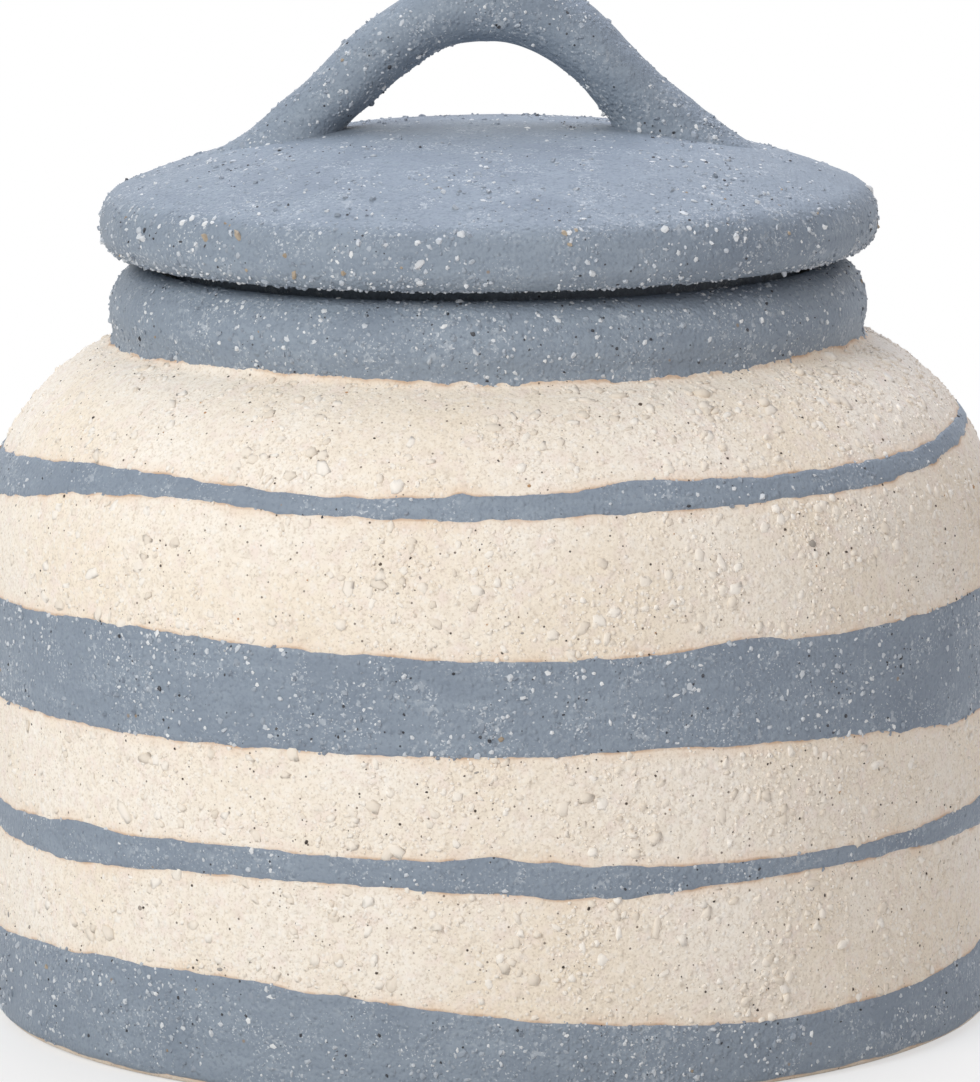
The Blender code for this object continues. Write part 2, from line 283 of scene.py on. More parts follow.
def rounded(corners: Points, closed: bool) -> Points:
    """Lay a smooth curve through an outline's corners, leaving only its real corners sharp.

    Args:
        corners: The outline's corners.
        closed: Whether the last corner joins the first.

    Returns:
        Points at even short steps along the curve.
    """
    ring = np.vstack((corners, corners[:1])) if closed else corners
    spans = np.diff(ring, axis=0)
    lengths = np.hypot(*spans.T)
    count = len(spans)
    rows = []
    for index in range(count):
        own = spans[index] / lengths[index]
        pulls = []
        for other in (index - 1, index + 1):
            heading = own
            if closed or 0 <= other < count:
                other %= count
                if own @ spans[other] > math.cos(CORNER) * lengths[other]:
                    heading = spans[index] + spans[other]
            pulls.append(heading / np.hypot(*heading) * lengths[index])
        share = np.linspace(0.0, 1.0, max(2, int(lengths[index] / OUTLINE_STEP)), endpoint=False)[:, None]
        rows.append(ring[index] + smooth_step(share) * spans[index] + share * (1.0 - share) ** 2 * pulls[0]
                    - share ** 2 * (1.0 - share) * pulls[1])
    return np.vstack((*rows, ring[-1:]))


def softened(line: Points, closed: bool, softness: float) -> Points:
    """Rub down an outline's corners as a wet sponge does.

    Args:
        line: Points at even short steps.
        closed: Whether the line is a loop.
        softness: How far along the line the rubbing reaches.

    Returns:
        The softened points.
    """
    reach = int(SOFT_TAILS * softness / OUTLINE_STEP)
    offsets = np.arange(-reach, reach + 1) * OUTLINE_STEP / softness
    weights = np.exp(-0.5 * offsets ** 2)
    weights /= weights.sum()
    if closed:
        padded = np.vstack((line[-reach - 1:-1], line, line[1:reach + 1]))
    else:
        mirror = np.array((-1.0, 1.0))
        padded = np.vstack((line[reach:0:-1] * mirror, line, line[-2:-reach - 2:-1] * mirror))
    return np.stack([np.convolve(column, weights, mode="valid") for column in padded.T], axis=1)


class Outline:
    """Half section of a turned piece, walked by the distance along it."""

    def __init__(self, node: Piece) -> None:
        """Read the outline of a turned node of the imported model."""
        corners, self.closed = half_section(node)
        self.walk(softened(rounded(corners, self.closed), self.closed, OUTLINE_SOFTNESS))

    def walk(self, line: Points) -> None:
        """Measure a row of points as this outline.

        Args:
            line: Points at short steps.
        """
        self.line = line
        self.along = np.concatenate(([0.0], np.cumsum(np.hypot(*np.diff(self.line, axis=0).T))))
        heading = np.gradient(self.line, axis=0)
        if self.closed:
            heading[0] = heading[-1] = self.line[1] - self.line[-2]
        heading /= np.hypot(*heading.T)[:, None]
        self.outward = np.stack((heading[:, 1], -heading[:, 0]), axis=1)
        self.length = self.along[-1]
        self.widest = self.along[self.line[:, 0].argmax()]
        self.highest = self.along[self.line[:, 1].argmax()]

    def fill(self, along: float, softness: float) -> None:
        """Fill a hollow corner of the outline with a soft round."""
        near = np.exp(-((self.along - along) / (2.0 * softness)) ** 2)[:, None]
        self.walk(self.line + near * (softened(self.line, self.closed, softness) - self.line))

    def at(self, along: Points) -> Points:
        """Return (radius, height) at distances along the outline."""
        return np.stack([np.interp(along, self.along, column) for column in self.line.T], axis=-1)

    def facing(self, along: Points) -> Points:
        """Return the way out of the clay at distances along the outline."""
        return np.stack([np.interp(along, self.along, column) for column in self.outward.T], axis=1)

    def rising_to(self, heights: Points, start: float, end: float) -> Points:
        """Return where the outline reaches some heights, on a stretch that only rises."""
        stretch = (self.along >= start) & (self.along <= end)
        return np.interp(heights, np.maximum.accumulate(self.line[stretch, 1]), self.along[stretch])


def radius_of(places: Points) -> Points:
    """Return how far places lie from the jar's axis."""
    return np.hypot(places[:, 0], places[:, 1])


def bearing_of(places: Points) -> Points:
    """Return the bearings of places from the front of the jar."""
    return np.arctan2(places[:, 0], -places[:, 1])


def on_axis(bearing: Points, flat: Points) -> Points:
    """Turn (radius, height) rows round the axis to their bearings."""
    return np.stack((flat[:, 0] * np.sin(bearing), -flat[:, 0] * np.cos(bearing), flat[:, 1]), axis=1)


@dataclass
class Turned:
    """Surface of a hand-thrown piece: an outline turned about the axis, and the unevenness of the hand.

    Attributes:
        outline: The outline that is turned.
        calm: Heights of the seats and feet, where the surface stays true.
        waves: Unevenness as size, reach and seed.
    """

    outline: Outline
    calm: tuple[float, ...]
    waves: tuple[tuple[float, float, int], ...] = ((46.0, 0.45, 11), (15.0, 0.16, 12), (4.5, 0.07, 13))
    calm_reach: float = 5.0 * MM

    def outward(self, bearing: Points, along: Points) -> Points:
        """Return the way out of the clay at each bearing and distance."""
        return on_axis(bearing, self.outline.facing(along))

    def spots(self, bearing: Points, along: Points, lift: Points | float = 0.0) -> Points:
        """Return places on the surface.

        Args:
            bearing: Bearings from the front.
            along: Distances along the outline.
            lift: How far the places stand out of the surface.

        Returns:
            One row of x, y and z for each place.
        """
        flat = self.outline.at(along)
        even = on_axis(bearing, flat)
        wander = sum(reach * MM * Unevenness(size, seed).at(even) for size, reach, seed in self.waves)
        for height in self.calm:
            wander = wander * smooth_step(np.abs(flat[:, 1] - height) / self.calm_reach)
        return even + (wander + lift)[:, None] * self.outward(bearing, along)


# Colour and node helpers


def linear(hex_colour: str) -> tuple[float, float, float, float]:
    """Turn a colour into light.

    Args:
        hex_colour: The colour as sRGB in hex.

    Returns:
        Linear red, green, blue and alpha.
    """
    values = [int(hex_colour[start:start + 2], 16) / 255.0 for start in (0, 2, 4)]
    red, green, blue = [v / 12.92 if v <= 0.04045 else ((v + 0.055) / 1.055) ** 2.4 for v in values]
    return (red, green, blue, 1.0)


def feed(tree: Tree, target: Socket, value: Any) -> None:
    """Set an input socket, or link it to what feeds it.

    Args:
        tree: Node tree that holds the socket.
        target: The input socket.
        value: A value, or the output socket that feeds it.
    """
    if isinstance(value, Socket):
        tree.links.new(value, target)
    else:
        target.default_value = value


def add_node(tree: Tree, kind: str, inputs: dict[Any, Any] | None = None, **settings: Any) -> bpy.types.Node:
    """Add a node, set its properties, and set or link its inputs.

    Args:
        tree: Node tree to add to.
        kind: Blender's name of the node type, without its prefix.
        inputs: Input name or index to a value, or to the output socket that feeds it.
        settings: Node properties.

    Returns:
        The new node.
    """
    node = tree.nodes.new("ShaderNode" + kind)
    for name, value in settings.items():
        setattr(node, name, value)
    for name, value in (inputs or {}).items():
        feed(tree, node.inputs[name], value)
    return node


class Dressing:
    """A new material whose pattern is laid down layer by layer."""

    MIX_FACTOR, MIX_UNDER, MIX_OVER, MIX_RESULT = 0, 6, 7, 2
    SPECK_SMALLEST, SPECK_EDGE = -0.2, 0.3
    LUMP_FOOT, LUMP_CROWN = 0.6, 0.1

    def __init__(self, name: str, colour: str, roughness: float, ior: float) -> None:
        """Start a material.

        Args:
            name: Name of the material.
            colour: Hex colour of its ground.
            roughness: Roughness of its surface.
            ior: Index of refraction.
        """
        self.material = bpy.data.materials.new(name)
        self.material.use_nodes = True
        self.tree = self.material.node_tree
        self.shader = self.tree.nodes["Principled BSDF"]
        self.shader.inputs["Roughness"].default_value = roughness
        self.shader.inputs["IOR"].default_value = ior
        self.place = add_node(self.tree, "TexCoord").outputs["Object"]
        self.colour: Any = linear(colour)

    def noise(self, size_mm: float, detail: float = 2.0, stretch: float = 1.0) -> Socket:
        """Add soft noise of a real size.

        Args:
            size_mm: Size of its bumps.
            detail: How many finer layers it holds.
            stretch: How far it is drawn out level round the jar.

        Returns:
            The noise's socket.
        """
        place = self.place
        if stretch != 1.0:
            inputs = {"Vector": place, "Scale": (1.0, 1.0, stretch)}
            place = add_node(self.tree, "Mapping", inputs).outputs[0]
        inputs = {"Vector": place, "Scale": 1.0 / (size_mm * MM), "Detail": detail}
        return add_node(self.tree, "TexNoise", inputs).outputs["Fac"]

    def ranged(self, value: Socket, low: float, high: float, start: float = 0.0, end: float = 1.0) -> Socket:
        """Return a value mapped from one range to another and clamped to it."""
        inputs = {"Value": value, "From Min": low, "From Max": high, "To Min": start, "To Max": end}
        return add_node(self.tree, "MapRange", inputs).outputs["Result"]

    def times(self, first: Socket, second: Any) -> Socket:
        """Return the product of two values."""
        return add_node(self.tree, "Math", {0: first, 1: second}, operation="MULTIPLY").outputs[0]

    def mark(self, name: str) -> Socket:
        """Return a number that the piece's vertices carry."""
        return add_node(self.tree, "Attribute", attribute_name=name).outputs["Fac"]

    def cells(self, spacing_mm: float) -> tuple[Socket, Socket]:
        """Strew seeds through the clay.

        Args:
            spacing_mm: Mean distance between them.

        Returns:
            The distance to the nearest seed, as a share of the spacing, and that seed's chance.
        """
        cells = add_node(self.tree, "TexVoronoi", {"Vector": self.place, "Scale": 1.0 / (spacing_mm * MM)})
        chance = add_node(self.tree, "SeparateColor", {"Color": cells.outputs["Color"]}).outputs["Red"]
        return cells.outputs["Distance"], chance

    def specks(self, spacing_mm: float, radius_mm: float, share: float) -> Socket:
        """Return a mask of specks strewn through the clay.

        Args:
            spacing_mm: Mean distance between the seeds that may hold a speck.
            radius_mm: Radius of the largest specks.
            share: Share of the seeds that hold one.

        Returns:
            A socket that is 1 inside a speck and 0 outside.
        """
        away, chance = self.cells(spacing_mm)
        radius = radius_mm / spacing_mm
        reach = self.ranged(chance, 1.0 - share, 1.0, self.SPECK_SMALLEST * radius, radius)
        inside = add_node(self.tree, "Math", {0: reach, 1: away}, operation="SUBTRACT").outputs[0]
        return self.ranged(inside, 0.0, self.SPECK_EDGE * radius)

    def lumps(self, spacing_mm: float, share: float) -> Socket:
        """Raise soft lumps of many sizes.

        Args:
            spacing_mm: Mean distance between the seeds that may hold a lump.
            share: Share of the seeds that hold one.

        Returns:
            A socket for their height, from 0 to 1.
        """
        away, chance = self.cells(spacing_mm)
        rise = self.ranged(away, self.LUMP_FOOT, self.LUMP_CROWN)
        return self.times(self.ranged(chance, 1.0 - share, 1.0), rise)

    def lay(self, colour: str, factor: Socket) -> None:
        """Lay a colour over the pattern so far.

        Args:
            colour: Hex colour.
            factor: How far it covers.
        """
        inputs = {self.MIX_FACTOR: factor, self.MIX_UNDER: self.colour, self.MIX_OVER: linear(colour)}
        self.colour = add_node(self.tree, "Mix", inputs, data_type="RGBA").outputs[self.MIX_RESULT]

    def ramp(self, value: Socket, stops: tuple[tuple[float, str], ...]) -> None:
        """Take the ground colour from a ramp.

        Args:
            value: Where on the ramp a place lies.
            stops: Positions and their hex colours.
        """
        node = add_node(self.tree, "ValToRGB", {"Fac": value})
        elements = node.color_ramp.elements
        while len(elements) < len(stops):
            elements.new(1.0)
        for element, (position, colour) in zip(elements, stops):
            element.position = position
            element.color = linear(colour)
        self.colour = node.outputs["Color"]

    def finished(self, *bumps: tuple[Socket, float, float]) -> Material:
        """Join the colour and the relief to the shader.

        Args:
            bumps: Height sockets, each with its depth in millimetres and its strength.

        Returns:
            The finished material.
        """
        relief = None
        for height, depth_mm, strength in bumps:
            inputs = {"Height": height, "Distance": depth_mm * MM, "Strength": strength}
            if relief is not None:
                inputs["Normal"] = relief
            relief = add_node(self.tree, "Bump", inputs).outputs["Normal"]
        if relief is not None:
            feed(self.tree, self.shader.inputs["Normal"], relief)
        feed(self.tree, self.shader.inputs["Base Color"], self.colour)
        return self.material


# Finishes


@dataclass(frozen=True)
class BareStoneware:
    """Cream grogged stoneware, fired unglazed.

    To the eye it is chalky and grainy, flecked with iron and scorched along the slip. Specks are given by
    their spacing and largest radius in millimetres, and the share of the seeds that hold one.
    """

    cream: str = "F7EFE2"
    warm: str = "F3E7D4"
    rosy: str = "F1E3D8"
    # Darker tone, laid as random mottle and as painted shade in the hollows of the fine grain
    mottle_and_painted_shade: str = "CFC0AC"
    pale: str = "FBF7F0"
    scorch: str = "B68A60"
    blush: str = "EACFB4"
    iron: str = "4E443B"
    fleck: str = "75685B"
    rust: str = "B98C62"
    roughness: float = 0.9
    chalkiness: float = 0.25
    ior: float = 1.5
    patch_mm: float = 30.0
    tinge_mm: float = 4.0
    mottle_mm: float = 1.7
    grain_mm: float = 0.55
    lump_mm: float = 2.3
    grog_mm: float = 1.05
    scorch_patch_mm: float = 7.0
    blush_mm: float = 2.4
    scorch_mm: float = 0.25
    flecks: tuple[float, float, float] = (1.4, 0.3, 0.6)
    irons: tuple[float, float, float] = (2.6, 0.36, 0.5)
    rusts: tuple[float, float, float] = (7.0, 0.5, 0.3)
    lump_depth_mm: float = 0.34
    grog_depth_mm: float = 0.17
    grain_depth_mm: float = 0.14

    def material(self, scorched: bool) -> Material:
        """Mix the finish.

        Args:
            scorched: Whether the vertices carry the distance to the slip, for the scorched line along it.

        Returns:
            The finish.
        """
        name = "unglazed_cream_stoneware" + ("_banded" if scorched else "")
        clay = Dressing(name, self.cream, self.roughness, self.ior)
        clay.lay(self.warm, clay.ranged(clay.noise(self.patch_mm), 0.35, 0.65))
        clay.lay(self.rosy, clay.ranged(clay.noise(self.tinge_mm, 3.0), 0.5, 0.7, 0.0, 0.7))
        mottle, grain = clay.noise(self.mottle_mm, 4.0), clay.noise(self.grain_mm, 3.0)
        large, small = clay.lumps(self.lump_mm, 0.5), clay.lumps(self.grog_mm, 0.8)
        clay.lay(self.mottle_and_painted_shade, clay.ranged(mottle, 0.47, 0.33, 0.0, 0.2))
        # Painted shade: the clay is darker where the fine grain's relief is low, in its hollows
        clay.lay(self.mottle_and_painted_shade, clay.ranged(grain, 0.48, 0.32, 0.0, 0.6))
        clay.lay(self.pale, clay.ranged(mottle, 0.54, 0.66, 0.0, 0.3))
        clay.lay(self.pale, clay.ranged(small, 0.3, 0.8, 0.0, 0.6))
        if scorched:
            gap = clay.mark("slip_gap")
            patchy = clay.ranged(clay.noise(self.scorch_patch_mm, 3.0), 0.38, 0.66, 0.1, 1.0)
            clay.lay(self.blush, clay.times(clay.ranged(gap, -0.2, self.blush_mm, 0.55, 0.0), patchy))
            clay.lay(self.scorch, clay.times(clay.ranged(gap, -0.3, self.scorch_mm, 0.65, 0.0), patchy))
        clay.lay(self.fleck, clay.times(clay.specks(*self.flecks), 0.9))
        clay.lay(self.iron, clay.specks(*self.irons))
        clay.lay(self.rust, clay.specks(*self.rusts))
        clay.shader.inputs["Diffuse Roughness"].default_value = self.chalkiness
        return clay.finished((large, self.lump_depth_mm, 1.0), (small, self.grog_depth_mm, 1.0),
                             (grain, self.grain_depth_mm, 1.0))


@dataclass(frozen=True)
class BrushedSlip:
    """Blue-grey clay slip, brushed on by hand.

    To the eye it is matt with a soft sheen, streaked along the stroke, full of grit and rubbed in clumps.
    """

    blue_grey: str = "8A95A1"
    thin: str = "96A1AC"
    thick: str = "7D8895"
    quartz: str = "CDD2D6"
    iron: str = "3C4047"
    ochre: str = "93897F"
    roughness: float = 0.52
    sheen: float = 0.3
    ior: float = 1.41
    stroke_mm: float = 16.0
    stroke_stretch: float = 6.0
    pool_mm: float = 24.0
    grain_mm: float = 0.8
    rub_mm: float = 0.5
    smear_mm: float = 1.6
    clump_mm: float = 8.0
    lump_mm: float = 2.0
    grog_mm: float = 0.95
    ochres: tuple[float, float, float] = (4.5, 0.6, 0.2)
    irons: tuple[float, float, float] = (2.0, 0.3, 0.5)
    lump_depth_mm: float = 0.3
    grog_depth_mm: float = 0.22
    grain_depth_mm: float = 0.2

    def material(self) -> Material:
        """Mix the finish.

        Returns:
            The finish.
        """
        slip = Dressing("brushed_blue_grey_slip", self.blue_grey, self.roughness, self.ior)
        streaks = slip.noise(self.stroke_mm, 3.0, self.stroke_stretch)
        slip.lay(self.thin, slip.ranged(streaks, 0.45, 0.75, 0.0, 0.8))
        slip.lay(self.thick, slip.ranged(slip.noise(self.pool_mm), 0.5, 0.75, 0.0, 0.8))
        grain, rub, smear = (slip.noise(size, 3.0) for size in (self.grain_mm, self.rub_mm, self.smear_mm))
        large, small = slip.lumps(self.lump_mm, 0.45), slip.lumps(self.grog_mm, 0.7)
        worn = slip.ranged(slip.noise(self.clump_mm), 0.45, 0.63, 0.04, 1.0)
        slip.lay(self.thick, slip.ranged(grain, 0.5, 0.3, 0.0, 0.8))
        slip.lay(self.thin, slip.ranged(large, 0.2, 0.8, 0.0, 0.6))
        slip.lay(self.quartz, slip.times(slip.ranged(smear, 0.58, 0.66, 0.0, 0.4), worn))
        slip.lay(self.quartz, slip.times(slip.ranged(rub, 0.6, 0.67, 0.0, 0.95), worn))
        slip.lay(self.ochre, slip.specks(*self.ochres))
        slip.lay(self.iron, slip.specks(*self.irons))
        slip.shader.inputs["Specular IOR Level"].default_value = self.sheen
        return slip.finished((large, self.lump_depth_mm, 1.0), (small, self.grog_depth_mm, 1.0),
                             (grain, self.grain_depth_mm, 1.0))


@dataclass(frozen=True)
class LinerGlaze:
    """Clear glaze over the cream clay inside the jar: smooth and glossy, with the clay's flecks below it."""

    cream: str = "E7DBC8"
    pooled: str = "DCCCB2"
    iron: str = "6A5A4A"
    roughness: float = 0.32
    ior: float = 1.5
    pool_mm: float = 26.0
    ripple_mm: float = 6.0
    ripple_depth_mm: float = 0.2
    irons: tuple[float, float, float] = (3.0, 0.25, 0.4)

    def material(self) -> Material:
        """Mix the finish.

        Returns:
            The finish.
        """
        glaze = Dressing("clear_liner_glaze", self.cream, self.roughness, self.ior)
        glaze.lay(self.pooled, glaze.ranged(glaze.noise(self.pool_mm, 3.0), 0.4, 0.7))
        glaze.lay(self.iron, glaze.times(glaze.specks(*self.irons), 0.7))
        return glaze.finished((glaze.noise(self.ripple_mm), self.ripple_depth_mm, 0.3))


@dataclass(frozen=True)
class Grog:
    """Fired grit that stands out of the surface; its colour follows the tint that each crumb carries."""

    name: str
    stops: tuple[tuple[float, str], ...]
    roughness: float
    ior: float = 1.5
    grain_mm: float = 0.4
    grain_depth_mm: float = 0.08

    def material(self) -> Material:
        """Mix the finish.

        Returns:
            The finish.
        """
        grit = Dressing(self.name, self.stops[0][1], self.roughness, self.ior)
        grit.ramp(grit.mark("tint"), self.stops)
        return grit.finished((grit.noise(self.grain_mm), self.grain_depth_mm, 0.4))


SLIP_GROG = Grog("grit_in_blue_grey_slip", (
    (0.0, "2E3035"), (0.15, "44464C"), (0.22, "93836F"), (0.35, "AFA08B"),
    (0.45, "7D8793"), (0.6, "98A1AB"), (0.75, "BCC2C8"), (1.0, "E6E7E6")), 0.5)
CLAY_GROG = Grog("grit_in_cream_stoneware", (
    (0.0, "3B342F"), (0.15, "65574A"), (0.22, "B08A63"), (0.32, "C3A27E"),
    (0.42, "9C9994"), (0.55, "CDBFAC"), (0.7, "EEE3D3"), (1.0, "FAF5EC")), 0.8)


# Slip


def round_the_jar(samples: Points, bearing: Points) -> Points:
    """Read a smooth closed curve between even samples round the jar.

    Args:
        samples: Values at even bearings from the front.
        bearing: Bearings to read at.

    Returns:
        One value for each bearing.
    """
    waves = np.fft.rfft(samples) / len(samples)
    total = np.full(len(bearing), waves[0].real)
    for lobes, wave in enumerate(waves[1:-1], start=1):
        total += 2.0 * (wave.real * np.cos(lobes * bearing) - wave.imag * np.sin(lobes * bearing))
    return total


@dataclass(frozen=True)
class BrushMark:
    """A place where the brush strayed from its line: bearing and spread in degrees, and rise."""

    bearing: float
    spread: float
    rise_mm: float

    def at(self, bearing: Points) -> Points:
        """Return how far the edge is raised at each bearing."""
        away = (np.degrees(bearing) - self.bearing + 180.0) % 360.0 - 180.0
        return self.rise_mm * MM * np.exp(-(away / self.spread) ** 2)


@dataclass
class SlipBand:
    """One brushed coat of slip round the jar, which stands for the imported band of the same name.

    Attributes:
        node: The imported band.
        wall: The surface that it is brushed on.
        start: Distance along the wall of its flat foot's edge.
        seed: Seed of its brushed edges.
        overrun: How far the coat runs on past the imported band's upper edge.
        lower_marks: Where the brush strayed along its lower edge.
        upper_marks: Where the brush strayed along its upper edge.
    """

    node: Piece
    wall: Turned
    start: float
    seed: int
    overrun: float = 0.0
    lower_marks: tuple[BrushMark, ...] = ()
    upper_marks: tuple[BrushMark, ...] = ()
    around: int = 1200
    row_height: float = 0.42 * MM
    coat: float = 0.24 * MM
    sunk: float = 0.14 * MM
    feather: float = 1.0 * MM
    back_rows: int = 10
    back_depth: float = 0.5 * MM
    back_power: int = 8
    sectors: int = 48
    packed_clear: tuple[float, float] = (0.3 * MM, 0.7 * MM)
    wobble: tuple[tuple[float, float], ...] = ((9.0, 0.4), (3.0, 0.16))
    fine_wobble: tuple[tuple[float, float], ...] = ((1.1, 0.1),)
    edge_seed_step: int = 10

    def __post_init__(self) -> None:
        """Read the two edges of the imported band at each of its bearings."""
        places = read_places(self.node)
        sector = np.round(bearing_of(places) * self.sectors / FULL_TURN).astype(int) % self.sectors
        low = np.full(self.sectors, np.inf)
        high = np.full(self.sectors, -np.inf)
        np.minimum.at(low, sector, places[:, 2])
        np.maximum.at(high, sector, places[:, 2])
        outline = self.wall.outline
        edges = []
        for heights, clear in zip((low, high), self.packed_clear):
            along = outline.rising_to(heights, self.start, outline.highest)
            heights = heights - clear * outline.facing(along)[:, 1]
            edges.append(outline.rising_to(heights, self.start, outline.highest))
        self.packed_edges = [edges[0], edges[1] + self.overrun]

    def edges(self, bearing: Points, fine: bool) -> tuple[Points, Points]:
        """Return the distances along the wall of the band's lower and upper edges.

        Args:
            bearing: Bearings from the front.
            fine: Whether to follow the finest ragged steps of the edge.

        Returns:
            The lower and the upper edge at each bearing.
        """
        waves = self.wobble + (self.fine_wobble if fine else ())
        found = []
        for side, marks in enumerate((self.lower_marks, self.upper_marks)):
            edge = round_the_jar(self.packed_edges[side], bearing)
            ring = np.stack((np.full(len(bearing), edge.mean()), np.full(len(bearing), float(side))), axis=1)
            ring = on_axis(bearing, ring)
            for number, (size, reach) in enumerate(waves):
                seed = self.seed + self.edge_seed_step * side + number
                edge = edge + reach * MM * Unevenness(size, seed).at(ring)
            for stray in marks:
                edge = edge + stray.at(bearing)
            found.append(edge)
        return found[0], found[1]

    def gap(self, bearing: Points, along: Points) -> Points:
        """Return how far places on the wall lie outside the band; inside it is negative."""
        low, high = self.edges(bearing, fine=False)
        return np.maximum(low - along, along - high)

    def build(self, finish: Material) -> Piece:
        """Model the coat as a thin closed hoop, feathered out into the clay at its edges.

        Args:
            finish: Material of the slip.

        Returns:
            The finished piece.
        """
        tall = float(np.mean(self.packed_edges[1] - self.packed_edges[0]))
        front_rows = int(tall / self.row_height)
        rows = front_rows + self.back_rows
        slab, across, up = rolled_slab(self.node.name + "_skin", self.around, rows)
        bearing = FULL_TURN * across
        low, high = self.edges(bearing, fine=True)
        front = front_rows / rows
        shown = slab.data.attributes.new("shown", "BOOLEAN", "FACE")
        shown.data.foreach_set("value", share_up(slab) < front)
        share = np.where(up <= front, up / front, (1.0 - up) / (1.0 - front))
        along = low + share * (high - low)
        inset = np.minimum(along - low, high - along)
        raised = -self.sunk + (self.sunk + self.coat) * smooth_step(inset / self.feather)
        behind = -self.sunk - self.back_depth * (1.0 - (2.0 * share - 1.0) ** self.back_power)
        set_places(slab, self.wall.spots(bearing, along, np.where(up <= front, raised, behind)))
        closed_up(slab)
        dress(slab, finish)
        self.skin = slab
        return slab

    def shows(self, centres: Points, normals: Points) -> Points:
        """Find the faces of the coat that take grit.

        Args:
            centres: The faces' centres.
            normals: The faces' normals.

        Returns:
            Whether each face shows and is high enough for its grit to stay clear of the floor.
        """
        shown = np.empty(len(centres), dtype=bool)
        self.skin.data.attributes["shown"].data.foreach_get("value", shown)
        return shown & (centres[:, 2] > FLOOR_CLEARANCE)


# Jar and lid


@dataclass
class JarBody:
    """The thrown body: foot ring, wall, shoulder and collar, the bare gallery and the glazed hollow."""

    node: Piece
    around: int = 480
    recess_rows: int = 4
    foot_rows: int = 12
    outer_rows: int = 132
    gallery_rows: int = 26
    inner_rows: int = 28
    floor_rows: int = 4
    waist_softness: float = 1.2 * MM
    flatness: float = 0.05 * MM

    def __post_init__(self) -> None:
        """Read the outline, and find the edges of its recess, foot and floor, and its throat."""
        outline = Outline(self.node)
        shoulder = (outline.along > outline.widest) & (np.gradient(outline.line[:, 0]) > 0.0)
        outline.fill(float(outline.along[shoulder].min()), self.waist_softness)
        on_foot = outline.line[:, 1] < WELD
        self.foot_edge = float(outline.along[on_foot].max()) if on_foot.any() else 0.0
        mouth = (outline.along > outline.highest) & (outline.line[:, 1] > outline.at(outline.widest)[1])
        narrowest = outline.line[mouth, 0].min() + WELD
        self.throat = float(outline.along[mouth & (outline.line[:, 0] < narrowest)].max())
        recess, floor = outline.line[0, 1] - self.flatness, outline.line[-1, 1] + self.flatness
        in_recess = (outline.along < self.foot_edge) & (outline.line[:, 1] > recess)
        self.recess_edge = float(outline.along[in_recess].max())
        on_floor = (outline.along > self.throat) & (outline.line[:, 1] < floor)
        self.floor_edge = float(outline.along[on_floor].min())
        self.wall = Turned(outline, (0.0, float(outline.line[:, 1].max())))

    def build(self, bands: list[SlipBand], clay: Material, glaze: Material) -> Piece:
        """Model the body and mark on it how far each place lies from the slip.

        Args:
            bands: The coats brushed on it.
            clay: Material of the bare clay.
            glaze: Material of the hollow.

        Returns:
            The finished piece.
        """
        outline = self.wall.outline
        stretches = ((0, 0.0), (self.recess_rows, self.recess_edge), (self.foot_rows, self.foot_edge),
                     (self.outer_rows, outline.highest), (self.gallery_rows, self.throat),
                     (self.inner_rows, self.floor_edge), (self.floor_rows, outline.length))
        counts, reaches = zip(*stretches)
        slab, across, up = rolled_slab("thrown_body", self.around, sum(counts))
        along = np.interp(up, np.cumsum(counts) / sum(counts), reaches)
        bearing = FULL_TURN * across
        glazed_from = 1.0 - (self.inner_rows + self.floor_rows) / sum(counts)
        dress(slab, clay, glaze, share_up(slab) > glazed_from)
        set_places(slab, self.wall.spots(bearing, along))
        mark(slab, "slip_gap", np.min([band.gap(bearing, along) for band in bands], axis=0) / MM)
        closed_up(slab)
        return slab


@dataclass
class BareBelt:
    """The bare clay between two bands."""

    body: JarBody
    above: SlipBand
    below: SlipBand
    out_of_hollow: float = 2.0 * MM
    clear_of_slip: float = 0.4 * MM
    rough_side: float = math.radians(60.0)
    drift: float = 0.6

    def holds(self, centres: Points, normals: Points) -> Points:
        """Find the places on the belt, clear of the slip, that take grit.

        Args:
            centres: Centres of the body's faces.
            normals: Normals of the body's faces.

        Returns:
            How thickly each face takes grit.
        """
        outline = self.body.wall.outline
        bearing = bearing_of(centres)
        along = outline.rising_to(centres[:, 2], self.body.foot_edge, outline.highest)
        outside = radius_of(centres) > outline.at(along)[:, 0] - self.out_of_hollow
        under = along < self.above.edges(bearing, fine=False)[0] - self.clear_of_slip
        bare = outside & under & (along > self.below.edges(bearing, fine=False)[1] + self.clear_of_slip)
        return bare * (1.0 + self.drift * np.cos(bearing - self.rough_side))


